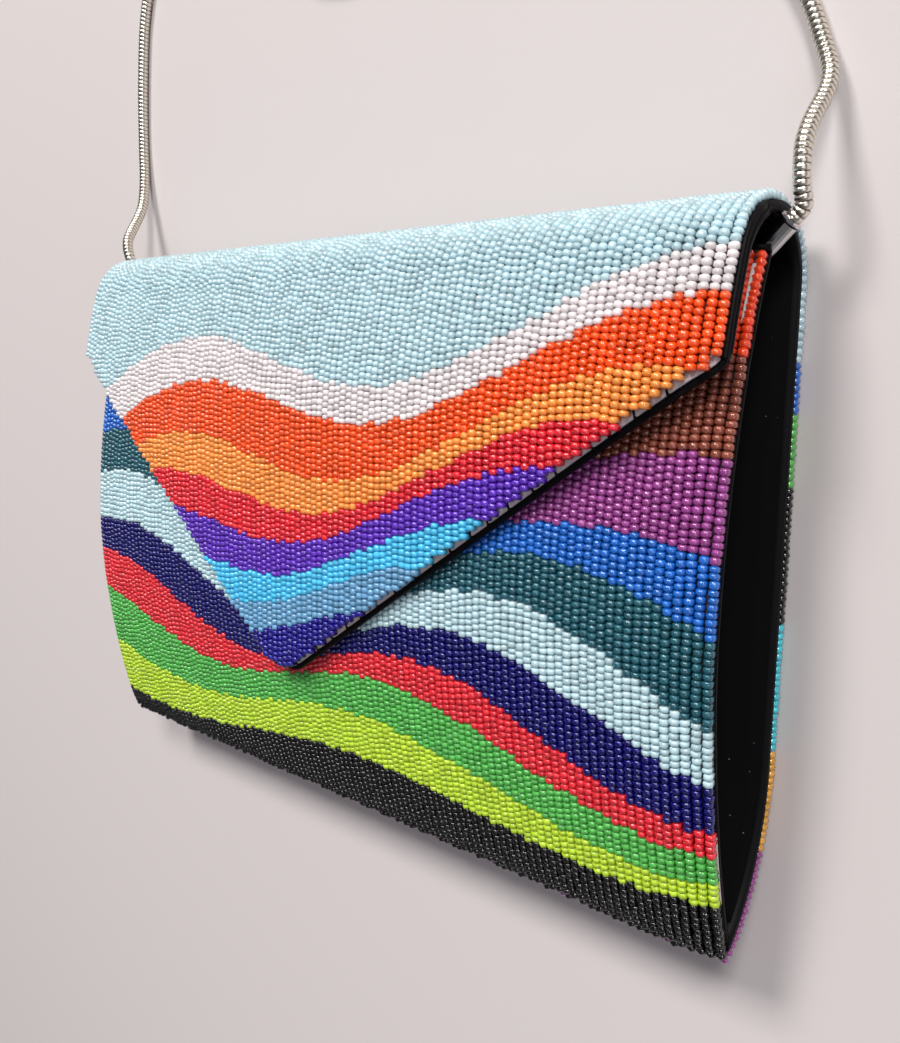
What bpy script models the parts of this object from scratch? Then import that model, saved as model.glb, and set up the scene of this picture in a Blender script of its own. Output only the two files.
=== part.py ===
"""A flat beaded clutch with a pointed flap, inward-folded side gussets and a snake chain.

The bag lies on its back. +X runs to the wearer's right, +Y from the bottom fold to the top fold,
and +Z out of the front. The origin is on the table, under the middle of the bag.

One strip of ground cloth makes the front, the bottom fold and the back, and a second one makes the
flap. Each bead field, cloth and lining is modelled flat, in a drawing of x across the bag, s along
the strip and h above the cloth, and then wrapped round the bag's side section.
"""

import math

import bmesh
import bpy
from mathutils import Matrix, Vector

# Overall sizes, in metres
WIDTH = 0.235
HEIGHT = 0.158
BELLY_DEPTH = 0.033
BELLY_Y = 0.072

# Layers of one panel, counted outwards from the outer face of its ground cloth
BEAD_CREST = 0.0022
BEAD_VALLEY = 0.0012
LAYER_GAP = 0.0003
CLOTH_THICKNESS = 0.0011
LINING_THICKNESS = 0.0006
LINING_FACE = -CLOTH_THICKNESS - LAYER_GAP
INNER_FACE = LINING_FACE - LINING_THICKNESS
SIDE_SEAM = 0.0006
BEAD_ROW = 0.0015
ROWS_PER_RIDGE = 3

# Side section
TOP_FOLD_RADIUS = 0.0165
BOTTOM_FOLD_LEVEL = 0.0175
MOUTH_DROP = 0.011
MOUTH_LEVEL = 0.0213
MOUTH_LEAN = math.radians(19)
BACK_REST_START = 0.040
FRONT_STEPS = 5
FOLD_STEPS = 6

# Flap, measured flat from the hinge line
FLAP_SIDE = 0.0385
FLAP_DROP = 0.1225
FLAP_TIP_X = -0.012
FLAP_TIP_WIDTH = 0.010
FLAP_CORNER_RADIUS = 0.005
FLAP_TIP_RADIUS = 0.004
FLAP_ARC = math.radians(76)
FLAP_LEVEL = 0.0359
FLAP_TIP_SINK = 0.0010
FLAP_BEAD_MARGIN = 0.0012
HINGE_GAP = 0.0003
HINGE_OUT = 0.0001
BINDING_WIDTH = 0.0009

# Gussets
GUSSET_THICKNESS = 0.0007
GUSSET_INSET = 0.0010
GUSSET_FOLD_DEPTH = 0.019
GUSSET_BOTTOM = 0.012
GUSSET_TOP_DROP = 0.0200
GUSSET_STEPS = 9

# Magnetic snap
SNAP_DROP = 0.105
SNAP_RADIUS = 0.007
SNAP_SEAT = 0.0003
SNAP_SOCKET_HEIGHT = 0.0013
SNAP_SOCKET_FLOOR = 0.0003
SNAP_STUD_HEIGHT = 0.0007
SNAP_BOSS_RADIUS = 0.0022
SNAP_BOSS_HEIGHT = 0.0012
SNAP_BOSS_CLEARANCE = 0.0005
SNAP_BEAD_CLEARANCE = 0.0005

# Snake chain and its ends
CHAIN_DIAMETER = 0.0035
CAP_RADIUS = 0.0022
CAP_LENGTH = 0.0088
CAP_LIP = 0.0003
CAP_LIP_LENGTH = 0.0011
CAP_EYE_RADIUS = 0.0017
CAP_EYE_WIRE = 0.0005
CAP_EYE_OUT = 0.0013
CAP_SIDE_OUT = 0.0020
CAP_BELOW_FOLD = 0.0055
CAP_LEVEL = 0.0150
CAP_TURN = math.radians(45)
THREAD_RADIUS = 0.0004
THREAD_TILT = math.radians(25)
COIL_CENTRE_X = 0.0
COIL_BEHIND_FOLD = 0.106
COIL_WINDING_RADIUS = 0.024
CHAIN_LEVEL = 0.00195
TUBE_GAP = 0.0003
ROUTE_STEP = 0.010

# Chain route beyond each cap: steps out from the side, behind the cap and above the table
RIGHT_ROUTE = (
    (0.0039, 0.0040, 0.0156), (0.0041, 0.0070, 0.0162), (0.0038, 0.0105, 0.0163),
    (0.0034, 0.0145, 0.0148), (0.0030, 0.0190, 0.0112), (0.0028, 0.0235, 0.0070),
    (0.0022, 0.0288, 0.0037), (-0.0010, 0.0363, CHAIN_LEVEL), (-0.0055, 0.0463, CHAIN_LEVEL),
    (-0.0150, 0.0603, CHAIN_LEVEL), (-0.0330, 0.0733, CHAIN_LEVEL), (-0.0560, 0.0813, CHAIN_LEVEL),
    (-0.0800, 0.0838, CHAIN_LEVEL),
)
LEFT_ROUTE = (
    (0.0041, 0.0045, 0.0157), (0.0058, 0.0083, 0.0160), (0.0080, 0.0130, 0.0148),
    (0.0108, 0.0180, 0.0108), (0.0140, 0.0255, 0.0056), (0.0168, 0.0353, 0.0029),
    (0.0185, 0.0483, CHAIN_LEVEL), (0.0182, 0.0683, CHAIN_LEVEL), (0.0158, 0.0903, CHAIN_LEVEL),
    (0.0090, 0.1063, CHAIN_LEVEL), (-0.0060, 0.1163, CHAIN_LEVEL), (-0.0270, 0.1153, CHAIN_LEVEL),
    (-0.0500, 0.1038, 0.0029), (-0.0720, 0.0893, 0.0045), (-0.0900, 0.0820, 0.0053),
)

# Bead colours and their sRGB values
BEAD_COLOURS = {
    "pale_aqua": "A6CFD3", "white": "EDE6E6", "slate": "5E86A8", "sky": "3EA8E8", "blue": "1E63B8",
    "indigo": "2A1A86", "navy": "14126A", "purple": "5A2BA8", "magenta": "9A2F8F", "red": "C8203A",
    "red_orange": "F2451C", "orange": "F0591A", "amber": "F29440", "gold": "E0A030",
    "lime": "B8D82E", "green": "4FB04A", "teal": "27616B", "turquoise": "3CC8D8",
    "brown": "8A4A3C", "black": "151515",
}

# Ribbon edges on each panel, as shares of its span and width: level, slant, swing, waves, phase
FLAP_EDGES = (
    (0.314, -0.096, 0.082, 1.38, 0.2), (0.400, -0.115, 0.073, 1.42, 0.5),
    (0.510, -0.125, 0.073, 1.47, 0.9), (0.584, -0.134, 0.065, 1.52, 1.3),
    (0.653, -0.144, 0.057, 1.57, 1.7), (0.731, -0.144, 0.049, 1.68, 2.1),
    (0.804, -0.134, 0.041, 1.81, 2.6), (0.882, -0.115, 0.033, 1.96, 3.0),
)
FLAP_COLOURS = ("pale_aqua", "white", "orange", "amber", "red", "purple", "sky", "slate", "indigo")
FRONT_EDGES = (
    (0.134, 0.039, 0.027, 1.38, 0.3), (0.247, 0.071, 0.047, 1.24, 0.6),
    (0.354, 0.102, 0.053, 1.31, 1.2), (0.441, 0.086, 0.060, 1.38, 1.7),
    (0.534, 0.078, 0.067, 1.47, 2.1), (0.614, 0.055, 0.053, 1.57, 2.5),
    (0.688, 0.047, 0.053, 1.57, 3.1), (0.748, 0.031, 0.047, 1.47, 3.7),
    (0.828, 0.008, 0.040, 1.38, 4.2), (0.908, -0.024, 0.027, 1.31, 4.6),
)
FRONT_COLOURS = (
    "red_orange", "brown", "magenta", "blue", "teal", "pale_aqua", "navy", "red", "green", "lime",
    "black",
)
BACK_EDGES = (
    (0.147, 0.014, 0.018, 1.31, 0.5), (0.263, 0.043, 0.043, 1.38, 1.3),
    (0.392, 0.058, 0.055, 1.31, 2.0), (0.527, 0.036, 0.055, 1.47, 2.9),
    (0.650, 0.014, 0.049, 1.57, 3.6), (0.772, -0.029, 0.037, 1.38, 4.4),
)
BACK_COLOURS = ("magenta", "gold", "turquoise", "black", "green", "blue", "pale_aqua")
EDGE_POINTS = 22

MAP_CLEARANCE = 0.02
WELD = 1e-6


def clear_scene():
    """Remove every object that the opened file holds."""
    for item in list(bpy.data.objects):
        bpy.data.objects.remove(item, do_unlink=True)


def new_collection(name):
    """Add a collection to the scene."""
    collection = bpy.data.collections.new(name)
    bpy.context.scene.collection.children.link(collection)
    return collection


def linear(value):
    """Turn one sRGB channel, 0 to 1, to linear light."""
    return value / 12.92 if value <= 0.04045 else ((value + 0.055) / 1.055) ** 2.4


def make_material(name, colour, roughness, metallic=0.0):
    """Return a Principled material with an sRGB hex colour, made once for each name."""
    material = bpy.data.materials.get(name)
    if material is None:
        material = bpy.data.materials.new(name)
        material.use_nodes = True
        shader = material.node_tree.nodes["Principled BSDF"]
        rgb = [linear(int(colour[i:i + 2], 16) / 255) for i in (0, 2, 4)]
        shader.inputs["Base Color"].default_value = (*rgb, 1.0)
        shader.inputs["Roughness"].default_value = roughness
        shader.inputs["Metallic"].default_value = metallic
    return material


def add_object(name, mesh, material):
    """Put a finished mesh into the bag's collection, with the bag's middle over the origin."""
    mesh.name = name
    mesh.transform(Matrix.Translation((0, -HEIGHT / 2, 0)))
    mesh.materials.clear()
    mesh.materials.append(material)
    item = bpy.data.objects.new(name, mesh)
    BAG.objects.link(item)
    return item


def evaluated_mesh(item):
    """Return a mesh of an object as its modifiers leave it."""
    graph = bpy.context.evaluated_depsgraph_get()
    graph.update()
    return bpy.data.meshes.new_from_object(item.evaluated_get(graph))


def weld(mesh):
    """Join the loose caps of a mesh that came from a curve."""
    bm = bmesh.new()
    bm.from_mesh(mesh)
    bmesh.ops.remove_doubles(bm, verts=bm.verts, dist=WELD)
    bmesh.ops.recalc_face_normals(bm, faces=bm.faces)
    bm.to_mesh(mesh)
    bm.free()
    return mesh


def plate(outlines, low, high):
    """Return a mesh of flat outlines in the XY plane, the first one solid and the others holes."""
    curve = bpy.data.curves.new("outline", "CURVE")
    curve.dimensions = "2D"
    curve.fill_mode = "BOTH"
    curve.extrude = (high - low) / 2
    for outline in outlines:
        spline = curve.splines.new("POLY")
        spline.points.add(len(outline) - 1)
        for point, (x, y) in zip(spline.points, outline):
            point.co = (x, y, 0.0, 1.0)
        spline.use_cyclic_u = True
    item = bpy.data.objects.new("outline", curve)
    TOOLS.objects.link(item)
    mesh = evaluated_mesh(item)
    bpy.data.objects.remove(item, do_unlink=True)
    mesh.transform(Matrix.Translation((0, 0, (high + low) / 2)))
    return weld(mesh)


def intersect(mesh, cutters):
    """Return what a mesh shares with each of the cutter meshes."""
    item = bpy.data.objects.new("blank", mesh)
    TOOLS.objects.link(item)
    helpers = []
    for cutter in cutters:
        helper = bpy.data.objects.new("cutter", cutter)
        helper.hide_render = True
        helper.display_type = "WIRE"
        TOOLS.objects.link(helper)
        helpers.append(helper)
        cut = item.modifiers.new("cut", "BOOLEAN")
        cut.operation = "INTERSECT"
        cut.object = helper
    result = evaluated_mesh(item)
    for used in (item, *helpers):
        bpy.data.objects.remove(used, do_unlink=True)
    return result


def bezier(start, first, second, end, steps):
    """Return the points of one cubic curve after its start."""
    points = []
    for i in range(1, steps + 1):
        t = i / steps
        a, b, c, d = (1 - t) ** 3, 3 * (1 - t) ** 2 * t, 3 * (1 - t) * t ** 2, t ** 3
        points.append(tuple(a * p + b * q + c * r + d * w
                            for p, q, r, w in zip(start, first, second, end)))
    return points


def arc(centre, radius, start, end, steps):
    """Return points round a centre in the YZ plane, after the start angle."""
    angles = [start + (end - start) * i / steps for i in range(1, steps + 1)]
    return [(centre[0] + radius * math.cos(a), centre[1] + radius * math.sin(a)) for a in angles]


FOLD_CENTRE = (HEIGHT - TOP_FOLD_RADIUS, TOP_FOLD_RADIUS)
CLOTH_FOLD_RADIUS = TOP_FOLD_RADIUS - BEAD_CREST


def body_section():
    """Return the outer face of the body cloth, from the mouth down the front and up the back."""
    mouth = (HEIGHT - MOUTH_DROP, MOUTH_LEVEL - BEAD_CREST)
    belly = (BELLY_Y, BELLY_DEPTH - BEAD_CREST)
    bottom = (BEAD_CREST, BOTTOM_FOLD_LEVEL)
    rest = (BACK_REST_START, BEAD_CREST)
    upper_reach = 0.24 * (mouth[0] - belly[0])
    lean = Vector((-math.cos(MOUTH_LEAN), math.sin(MOUTH_LEAN))) * upper_reach
    points = [mouth]
    points += bezier(mouth, (mouth[0] + lean[0], mouth[1] + lean[1]),
                     (belly[0] + 0.4 * (mouth[0] - belly[0]), belly[1]), belly, FRONT_STEPS)
    points += bezier(belly, (0.58 * belly[0], belly[1]),
                     (bottom[0], bottom[1] + 0.19 * (belly[1] - bottom[1])), bottom, FOLD_STEPS)
    front_count = len(points)
    points += bezier(bottom, (bottom[0], bottom[1] - 0.2 * (bottom[1] - rest[1])),
                     (0.45 * rest[0], rest[1]), rest, FOLD_STEPS)
    points.append((FOLD_CENTRE[0], BEAD_CREST))
    points += arc(FOLD_CENTRE, CLOTH_FOLD_RADIUS, -math.pi / 2, 0.0, FRONT_STEPS)
    return points, front_count


def flap_section():
    """Return the outer face of the flap cloth, from the hinge line to past its tip."""
    start = (FOLD_CENTRE[0] + CLOTH_FOLD_RADIUS, FOLD_CENTRE[1])
    points = [start] + arc(FOLD_CENTRE, CLOTH_FOLD_RADIUS, 0.0, FLAP_ARC, FRONT_STEPS)
    leave = points[-1]
    shoulder = (0.74 * leave[0], FLAP_LEVEL)
    reach = 0.36 * (leave[0] - shoulder[0])
    points += bezier(leave, (leave[0] - reach * math.sin(FLAP_ARC),
                             leave[1] + reach * math.cos(FLAP_ARC)),
                     (shoulder[0] + reach, FLAP_LEVEL), shoulder, 4)
    arc_length = CLOTH_FOLD_RADIUS * FLAP_ARC
    end_y = leave[0] - (FLAP_DROP - arc_length) - FLAP_CORNER_RADIUS
    span = shoulder[0] - end_y
    points += bezier(shoulder, (shoulder[0] - 0.4 * span, FLAP_LEVEL),
                     (end_y + 0.4 * span, FLAP_LEVEL - 0.5 * FLAP_TIP_SINK),
                     (end_y, FLAP_LEVEL - FLAP_TIP_SINK), 4)
    return points


class Fold:
    """A side section that flat work is wrapped round, with mitred corners at each station."""

    def __init__(self, points, starts_at_hinge=False, ends_at_hinge=False):
        self.points = [Vector(point) for point in points]
        self.stations = [0.0]
        for a, b in zip(self.points, self.points[1:]):
            self.stations.append(self.stations[-1] + (b - a).length)
        normals = []
        for a, b in zip(self.points, self.points[1:]):
            run = (b - a).normalized()
            normals.append(Vector((run.y, -run.x)))
        self.mitres = [normals[0]]
        for a, b in zip(normals, normals[1:]):
            self.mitres.append((a + b) / (1.0 + a.dot(b)))
        self.mitres.append(normals[-1])
        outwards = Vector((1.0, 0.0))
        if starts_at_hinge:
            self.mitres[0] = outwards / outwards.dot(normals[0])
        if ends_at_hinge:
            self.mitres[-1] = outwards / outwards.dot(normals[-1])

    def place(self, x, s, h):
        """Return the point of the bag for a point of the flat drawing."""
        i = 0
        while i < len(self.stations) - 2 and s > self.stations[i + 1]:
            i += 1
        t = (s - self.stations[i]) / (self.stations[i + 1] - self.stations[i])
        base = self.points[i].lerp(self.points[i + 1], t)
        away = self.mitres[i].lerp(self.mitres[i + 1], t)
        return Vector((x, base.x + h * away.x, base.y + h * away.y))

    def station_at(self, y, high):
        """Return s where the section crosses y, on its lower or its upper side."""
        found = []
        for i, (a, b) in enumerate(zip(self.points, self.points[1:])):
            if min(a.x, b.x) <= y <= max(a.x, b.x) and a.x != b.x:
                t = (y - a.x) / (b.x - a.x)
                level = a.y + t * (b.y - a.y)
                s = self.stations[i] + t * (self.stations[i + 1] - self.stations[i])
                found.append((level, s))
        return (max(found) if high else min(found))[1]


def wrap(mesh, fold):
    """Bend a flat mesh round a fold, with an edge line at each of the fold's stations.

    The drawing's s runs against the bag's Y on the front, so the bend also mirrors the mesh, and
    its faces are turned back.
    """
    bm = bmesh.new()
    bm.from_mesh(mesh)
    for station in fold.stations[1:-1]:
        geometry = bm.verts[:] + bm.edges[:] + bm.faces[:]
        bmesh.ops.bisect_plane(bm, geom=geometry, dist=WELD, plane_co=(0, station, 0),
                               plane_no=(0, 1, 0))
    for vert in bm.verts:
        vert.co = fold.place(*vert.co)
    bmesh.ops.reverse_faces(bm, faces=bm.faces)
    bm.to_mesh(mesh)
    bm.free()
    return mesh


def rounded(corners, radii, steps=4):
    """Return an outline with each corner turned to an arc of its radius."""
    outline = []
    count = len(corners)
    for i, (corner, radius) in enumerate(zip(corners, radii)):
        here = Vector(corner)
        if radius == 0:
            outline.append(tuple(here))
            continue
        back = (Vector(corners[i - 1]) - here).normalized()
        ahead = (Vector(corners[(i + 1) % count]) - here).normalized()
        half = back.angle(ahead) / 2
        centre = here + (back + ahead).normalized() * (radius / math.sin(half))
        first = here + back * (radius / math.tan(half)) - centre
        last = here + ahead * (radius / math.tan(half)) - centre
        for k in range(steps + 1):
            spoke = first.lerp(last, k / steps).normalized() * radius
            outline.append(tuple(centre + spoke))
    return outline


def flap_corners(inset):
    """Return the flap's corners, moved inwards by inset except along the hinge line."""
    half = WIDTH / 2 - SIDE_SEAM
    tip_half = FLAP_TIP_WIDTH / 2
    sides = []
    corners = [(-half, 0.0), (-half, FLAP_SIDE), (FLAP_TIP_X - tip_half, FLAP_DROP),
               (FLAP_TIP_X + tip_half, FLAP_DROP), (half, FLAP_SIDE), (half, 0.0)]
    for a, b in zip(corners, corners[1:]):
        run = (Vector(b) - Vector(a)).normalized()
        shift = Vector((run.y, -run.x)) * inset
        sides.append((Vector(a) + shift, run))
    moved = [(-half + inset, HINGE_GAP / 2)]
    for (p, d), (q, e) in zip(sides, sides[1:]):
        along = ((q - p).x * e.y - (q - p).y * e.x) / (d.x * e.y - d.y * e.x)
        moved.append(tuple(p + d * along))
    moved.append((half - inset, HINGE_GAP / 2))
    return moved


def flap_outline(inset):
    """Return the flap's cut outline with its rounded corners."""
    corner = max(FLAP_CORNER_RADIUS - inset, WELD)
    tip = max(FLAP_TIP_RADIUS - inset, WELD)
    return rounded(flap_corners(inset), (0, corner, tip, tip, corner, 0))


def rectangle(half_width, low, high):
    """Return a panel's outline in the flat drawing."""
    return [(-half_width, low), (half_width, low), (half_width, high), (-half_width, high)]


def circle(x, y, radius, steps=20):
    """Return a round outline."""
    return [(x + radius * math.cos(2 * math.pi * i / steps),
             y + radius * math.sin(2 * math.pi * i / steps)) for i in range(steps)]


def ribbon_edge(edge, half_width, span, shift):
    """Return the points of one wavy ribbon edge across a panel, moved along the strip by shift."""
    level, slant, swing, waves, phase = edge
    start, end = span
    points = []
    for i in range(EDGE_POINTS + 1):
        x = half_width * (2 * i / EDGE_POINTS - 1)
        share = 2 * x / WIDTH
        wave = swing * math.sin(math.pi * waves * share + phase)
        points.append((x, start + (end - start) * (level + slant * share + wave) + shift))
    return points


def ridged_slab(start, end, crest_share):
    """Return a flat slab of bead rows: ridges across the bag, one for each few rows."""
    pitch = BEAD_ROW * ROWS_PER_RIDGE
    count = round((end - start) / pitch)
    pitch = (end - start) / count
    crest = crest_share * pitch / 2
    top = [(start, BEAD_VALLEY)]
    for i in range(count):
        middle = start + (i + 0.5) * pitch
        if crest > 0:
            top += [(middle - crest, BEAD_CREST), (middle + crest, BEAD_CREST)]
        else:
            top.append((middle, BEAD_CREST))
        top.append((middle + pitch / 2, BEAD_VALLEY))
    outline = [(start, LAYER_GAP), (end, LAYER_GAP)] + top[::-1]
    half = WIDTH / 2 - SIDE_SEAM
    slab = plate([outline], -half, half)
    slab.transform(Matrix(((0, 0, 1, 0), (1, 0, 0, 0), (0, 1, 0, 0), (0, 0, 0, 1))))
    return slab


def bead_fields(panel, fold, span, edges, colours, crest_share=0.0, outline=None, snap=None):
    """Make one ridged solid for each coloured ribbon of a panel."""
    start, end = span
    half = WIDTH / 2 + MAP_CLEARANCE
    seam = LAYER_GAP / 2
    low = [(-half, start - MAP_CLEARANCE), (half, start - MAP_CLEARANCE)]
    high = [(-half, end + MAP_CLEARANCE), (half, end + MAP_CLEARANCE)]
    for i, colour in enumerate(colours):
        upper = ribbon_edge(edges[i - 1], half, span, seam) if i > 0 else low
        lower = ribbon_edge(edges[i], half, span, -seam) if i < len(edges) else high
        outlines = [upper + lower[::-1]]
        if snap and min(y for _, y in upper) < snap[1] < max(y for _, y in lower):
            outlines.append(circle(*snap))
        cutters = [plate([outlines[0]], -MAP_CLEARANCE, MAP_CLEARANCE)]
        if outline:
            cutters.append(plate([outline], -MAP_CLEARANCE, MAP_CLEARANCE))
        if snap and len(outlines) > 1:
            frame = [(-half, start - MAP_CLEARANCE), (half, start - MAP_CLEARANCE),
                     (half, end + MAP_CLEARANCE), (-half, end + MAP_CLEARANCE)]
            cutters.append(plate([frame, outlines[1]], -MAP_CLEARANCE, MAP_CLEARANCE))
        flat = intersect(ridged_slab(start, end, crest_share), cutters)
        finish = make_material("beads_" + colour, BEAD_COLOURS[colour], 0.25)
        add_object(f"{panel}_beads_{colour}", wrap(flat, fold), finish)


def make_cloths(body, flap, mouth_to_hinge):
    """Make the two ground cloths and the linings behind them."""
    half = WIDTH / 2 - SIDE_SEAM
    felt = make_material("ground_cloth", "B9AEB4", 0.9)
    satin = make_material("lining_satin", "141216", 0.6)
    whole = rectangle(half, 0.0, mouth_to_hinge - HINGE_GAP / 2)
    add_object("body_cloth", wrap(plate([whole], -CLOTH_THICKNESS, 0.0), body), felt)
    add_object("body_lining", wrap(plate([whole], INNER_FACE, LINING_FACE), body), satin)
    cut = flap_outline(0.0)
    add_object("flap_cloth", wrap(plate([cut], -CLOTH_THICKNESS, 0.0), flap), felt)
    add_object("flap_lining", wrap(plate([cut], INNER_FACE, LINING_FACE), flap), satin)
    outer = flap_outline(-LAYER_GAP - BINDING_WIDTH)
    inner = flap_outline(-LAYER_GAP)
    strip = plate([outer + inner[::-1]], INNER_FACE, 0.0)
    add_object("flap_binding", wrap(strip, flap), satin)


def gusset_surface(body, side):
    """Return the open sheet of one gusset: two leaves that meet at an inward fold."""
    clearance = LAYER_GAP + GUSSET_THICKNESS
    bottom = GUSSET_BOTTOM
    top = HEIGHT - GUSSET_TOP_DROP
    edge_x = WIDTH / 2 - GUSSET_INSET
    bm = bmesh.new()
    rows = []
    for k in range(GUSSET_STEPS + 1):
        y = bottom + (top - bottom) * k / GUSSET_STEPS
        back = body.place(0, body.station_at(y, False), INNER_FACE - clearance)
        front = body.place(0, body.station_at(y, True), INNER_FACE - clearance)
        share = k / GUSSET_STEPS
        depth = GUSSET_FOLD_DEPTH * math.sin(math.pi / 2 * min(1.0, 0.25 + 1.5 * share))
        middle = (back + front) / 2
        rows.append([bm.verts.new((side * edge_x, back.y, back.z)),
                     bm.verts.new((side * (edge_x - depth), middle.y, middle.z)),
                     bm.verts.new((side * edge_x, front.y, front.z))])
    for lower, upper in zip(rows, rows[1:]):
        for i in range(2):
            bm.faces.new((lower[i], lower[i + 1], upper[i + 1], upper[i]))
    bmesh.ops.recalc_face_normals(bm, faces=bm.faces)
    mesh = bpy.data.meshes.new("gusset")
    bm.to_mesh(mesh)
    bm.free()
    return mesh


def make_gussets(body):
    """Make the black cloth gusset at each side of the bag."""
    cotton = make_material("gusset_cloth", "0E0D10", 0.85)
    for name, side in (("gusset_right", 1), ("gusset_left", -1)):
        item = add_object(name, gusset_surface(body, side), cotton)
        wall = item.modifiers.new("wall", "SOLIDIFY")
        wall.thickness = GUSSET_THICKNESS
        wall.offset = 0.0


def turned(profile, steps):
    """Return a solid turned round Z from a profile of radius and height, bottom to top."""
    mesh = bpy.data.meshes.new("turned")
    bm = bmesh.new()
    verts = [bm.verts.new((radius, 0, height)) for radius, height in profile]
    for a, b in zip(verts, verts[1:]):
        bm.edges.new((a, b))
    bmesh.ops.spin(bm, geom=bm.verts[:] + bm.edges[:], cent=(0, 0, 0), axis=(0, 0, 1),
                   angle=2 * math.pi, steps=steps, use_merge=True, use_duplicate=False)
    bmesh.ops.remove_doubles(bm, verts=bm.verts, dist=WELD)
    bmesh.ops.recalc_face_normals(bm, faces=bm.faces)
    bm.to_mesh(mesh)
    bm.free()
    return mesh


def stand_on(mesh, point, normal):
    """Move a mesh from the origin to a point, with its Z along a normal."""
    turn = Vector((0, 0, 1)).rotation_difference(normal).to_matrix().to_4x4()
    mesh.transform(Matrix.Translation(point) @ turn)
    return mesh


def make_snap(body, flap):
    """Make the two halves of the magnetic snap, one on each side of the closed gap."""
    steel = make_material("snap_metal", "B8B4AC", 0.3, 1.0)
    under = flap.place(FLAP_TIP_X, SNAP_DROP, INNER_FACE)
    station = body.station_at(under.y, True)
    seat = body.place(FLAP_TIP_X, station, SNAP_SEAT)
    normal = (body.place(FLAP_TIP_X, station, 1.0) - body.place(FLAP_TIP_X, station, 0.0))
    normal.normalize()
    hole = SNAP_BOSS_RADIUS + SNAP_BOSS_CLEARANCE
    rim = 0.0004
    socket = turned([(0, 0), (SNAP_RADIUS, 0), (SNAP_RADIUS, SNAP_SOCKET_HEIGHT - rim),
                     (SNAP_RADIUS - rim, SNAP_SOCKET_HEIGHT), (hole, SNAP_SOCKET_HEIGHT),
                     (hole, SNAP_SOCKET_FLOOR), (0, SNAP_SOCKET_FLOOR)], 24)
    add_object("snap_socket", stand_on(socket, seat, normal), steel)
    away = -(flap.place(FLAP_TIP_X, SNAP_DROP, 0.0) - under).normalized()
    stud = turned([(0, 0), (SNAP_RADIUS - 0.001, 0), (SNAP_RADIUS - 0.001, SNAP_STUD_HEIGHT),
                   (SNAP_BOSS_RADIUS, SNAP_STUD_HEIGHT),
                   (SNAP_BOSS_RADIUS, SNAP_STUD_HEIGHT + SNAP_BOSS_HEIGHT),
                   (0, SNAP_STUD_HEIGHT + SNAP_BOSS_HEIGHT)], 24)
    add_object("snap_stud", stand_on(stud, under + away * SNAP_SEAT, away), steel)
    return station


def smooth_route(points, step):
    """Return evenly spaced points on a smooth curve through a route's points."""
    points = [Vector(p) for p in points]
    ends = [2 * points[0] - points[1]] + points + [2 * points[-1] - points[-2]]
    fine = []
    for a, b, c, d in zip(ends, ends[1:], ends[2:], ends[3:]):
        for k in range(12):
            t = k / 12
            fine.append(0.5 * ((2 * b) + (c - a) * t + (2 * a - 5 * b + 4 * c - d) * t * t
                               + (3 * b - a - 3 * c + d) * t ** 3))
    fine.append(points[-1])
    lengths = [0.0]
    for a, b in zip(fine, fine[1:]):
        lengths.append(lengths[-1] + (b - a).length)
    count = max(2, round(lengths[-1] / step))
    route = []
    i = 0
    for k in range(count + 1):
        goal = lengths[-1] * k / count
        while i < len(lengths) - 2 and lengths[i + 1] < goal:
            i += 1
        share = (goal - lengths[i]) / (lengths[i + 1] - lengths[i])
        route.append(fine[i].lerp(fine[i + 1], share))
    return route


def tube(points, radius):
    """Return a closed tube along a route."""
    curve = bpy.data.curves.new("tube", "CURVE")
    curve.dimensions = "3D"
    curve.bevel_depth = radius
    curve.bevel_resolution = 2
    curve.use_fill_caps = True
    spline = curve.splines.new("POLY")
    spline.points.add(len(points) - 1)
    for place, point in zip(spline.points, points):
        place.co = (*point, 1.0)
    item = bpy.data.objects.new("tube", curve)
    TOOLS.objects.link(item)
    mesh = evaluated_mesh(item)
    bpy.data.objects.remove(item, do_unlink=True)
    return weld(mesh)


def ring(major, minor, around, across):
    """Return a torus round Z."""
    angles = [2 * math.pi * i / across for i in range(across)]
    profile = [(major + minor * math.cos(a), minor * math.sin(a)) for a in angles]
    return turned(profile + profile[:1], around)


def cap_frame(side):
    """Return a cap's outer end, the way the chain leaves it, and the frame of its inner end.

    The frame's Z runs along the cap and its X points at the nearest lining of the top fold.
    """
    along = Vector((side * math.cos(CAP_TURN), math.sin(CAP_TURN), 0.0))
    end = Vector((side * (WIDTH / 2 + CAP_SIDE_OUT), HEIGHT - CAP_BELOW_FOLD, CAP_LEVEL))
    inner = end - along * CAP_LENGTH
    outwards = Vector((0.0, inner.y - FOLD_CENTRE[0], inner.z - FOLD_CENTRE[1]))
    outwards = (outwards - along * outwards.dot(along)).normalized()
    turn = Matrix((outwards, along.cross(outwards), along)).transposed().to_4x4()
    return end, along, Matrix.Translation(inner) @ turn


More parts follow.
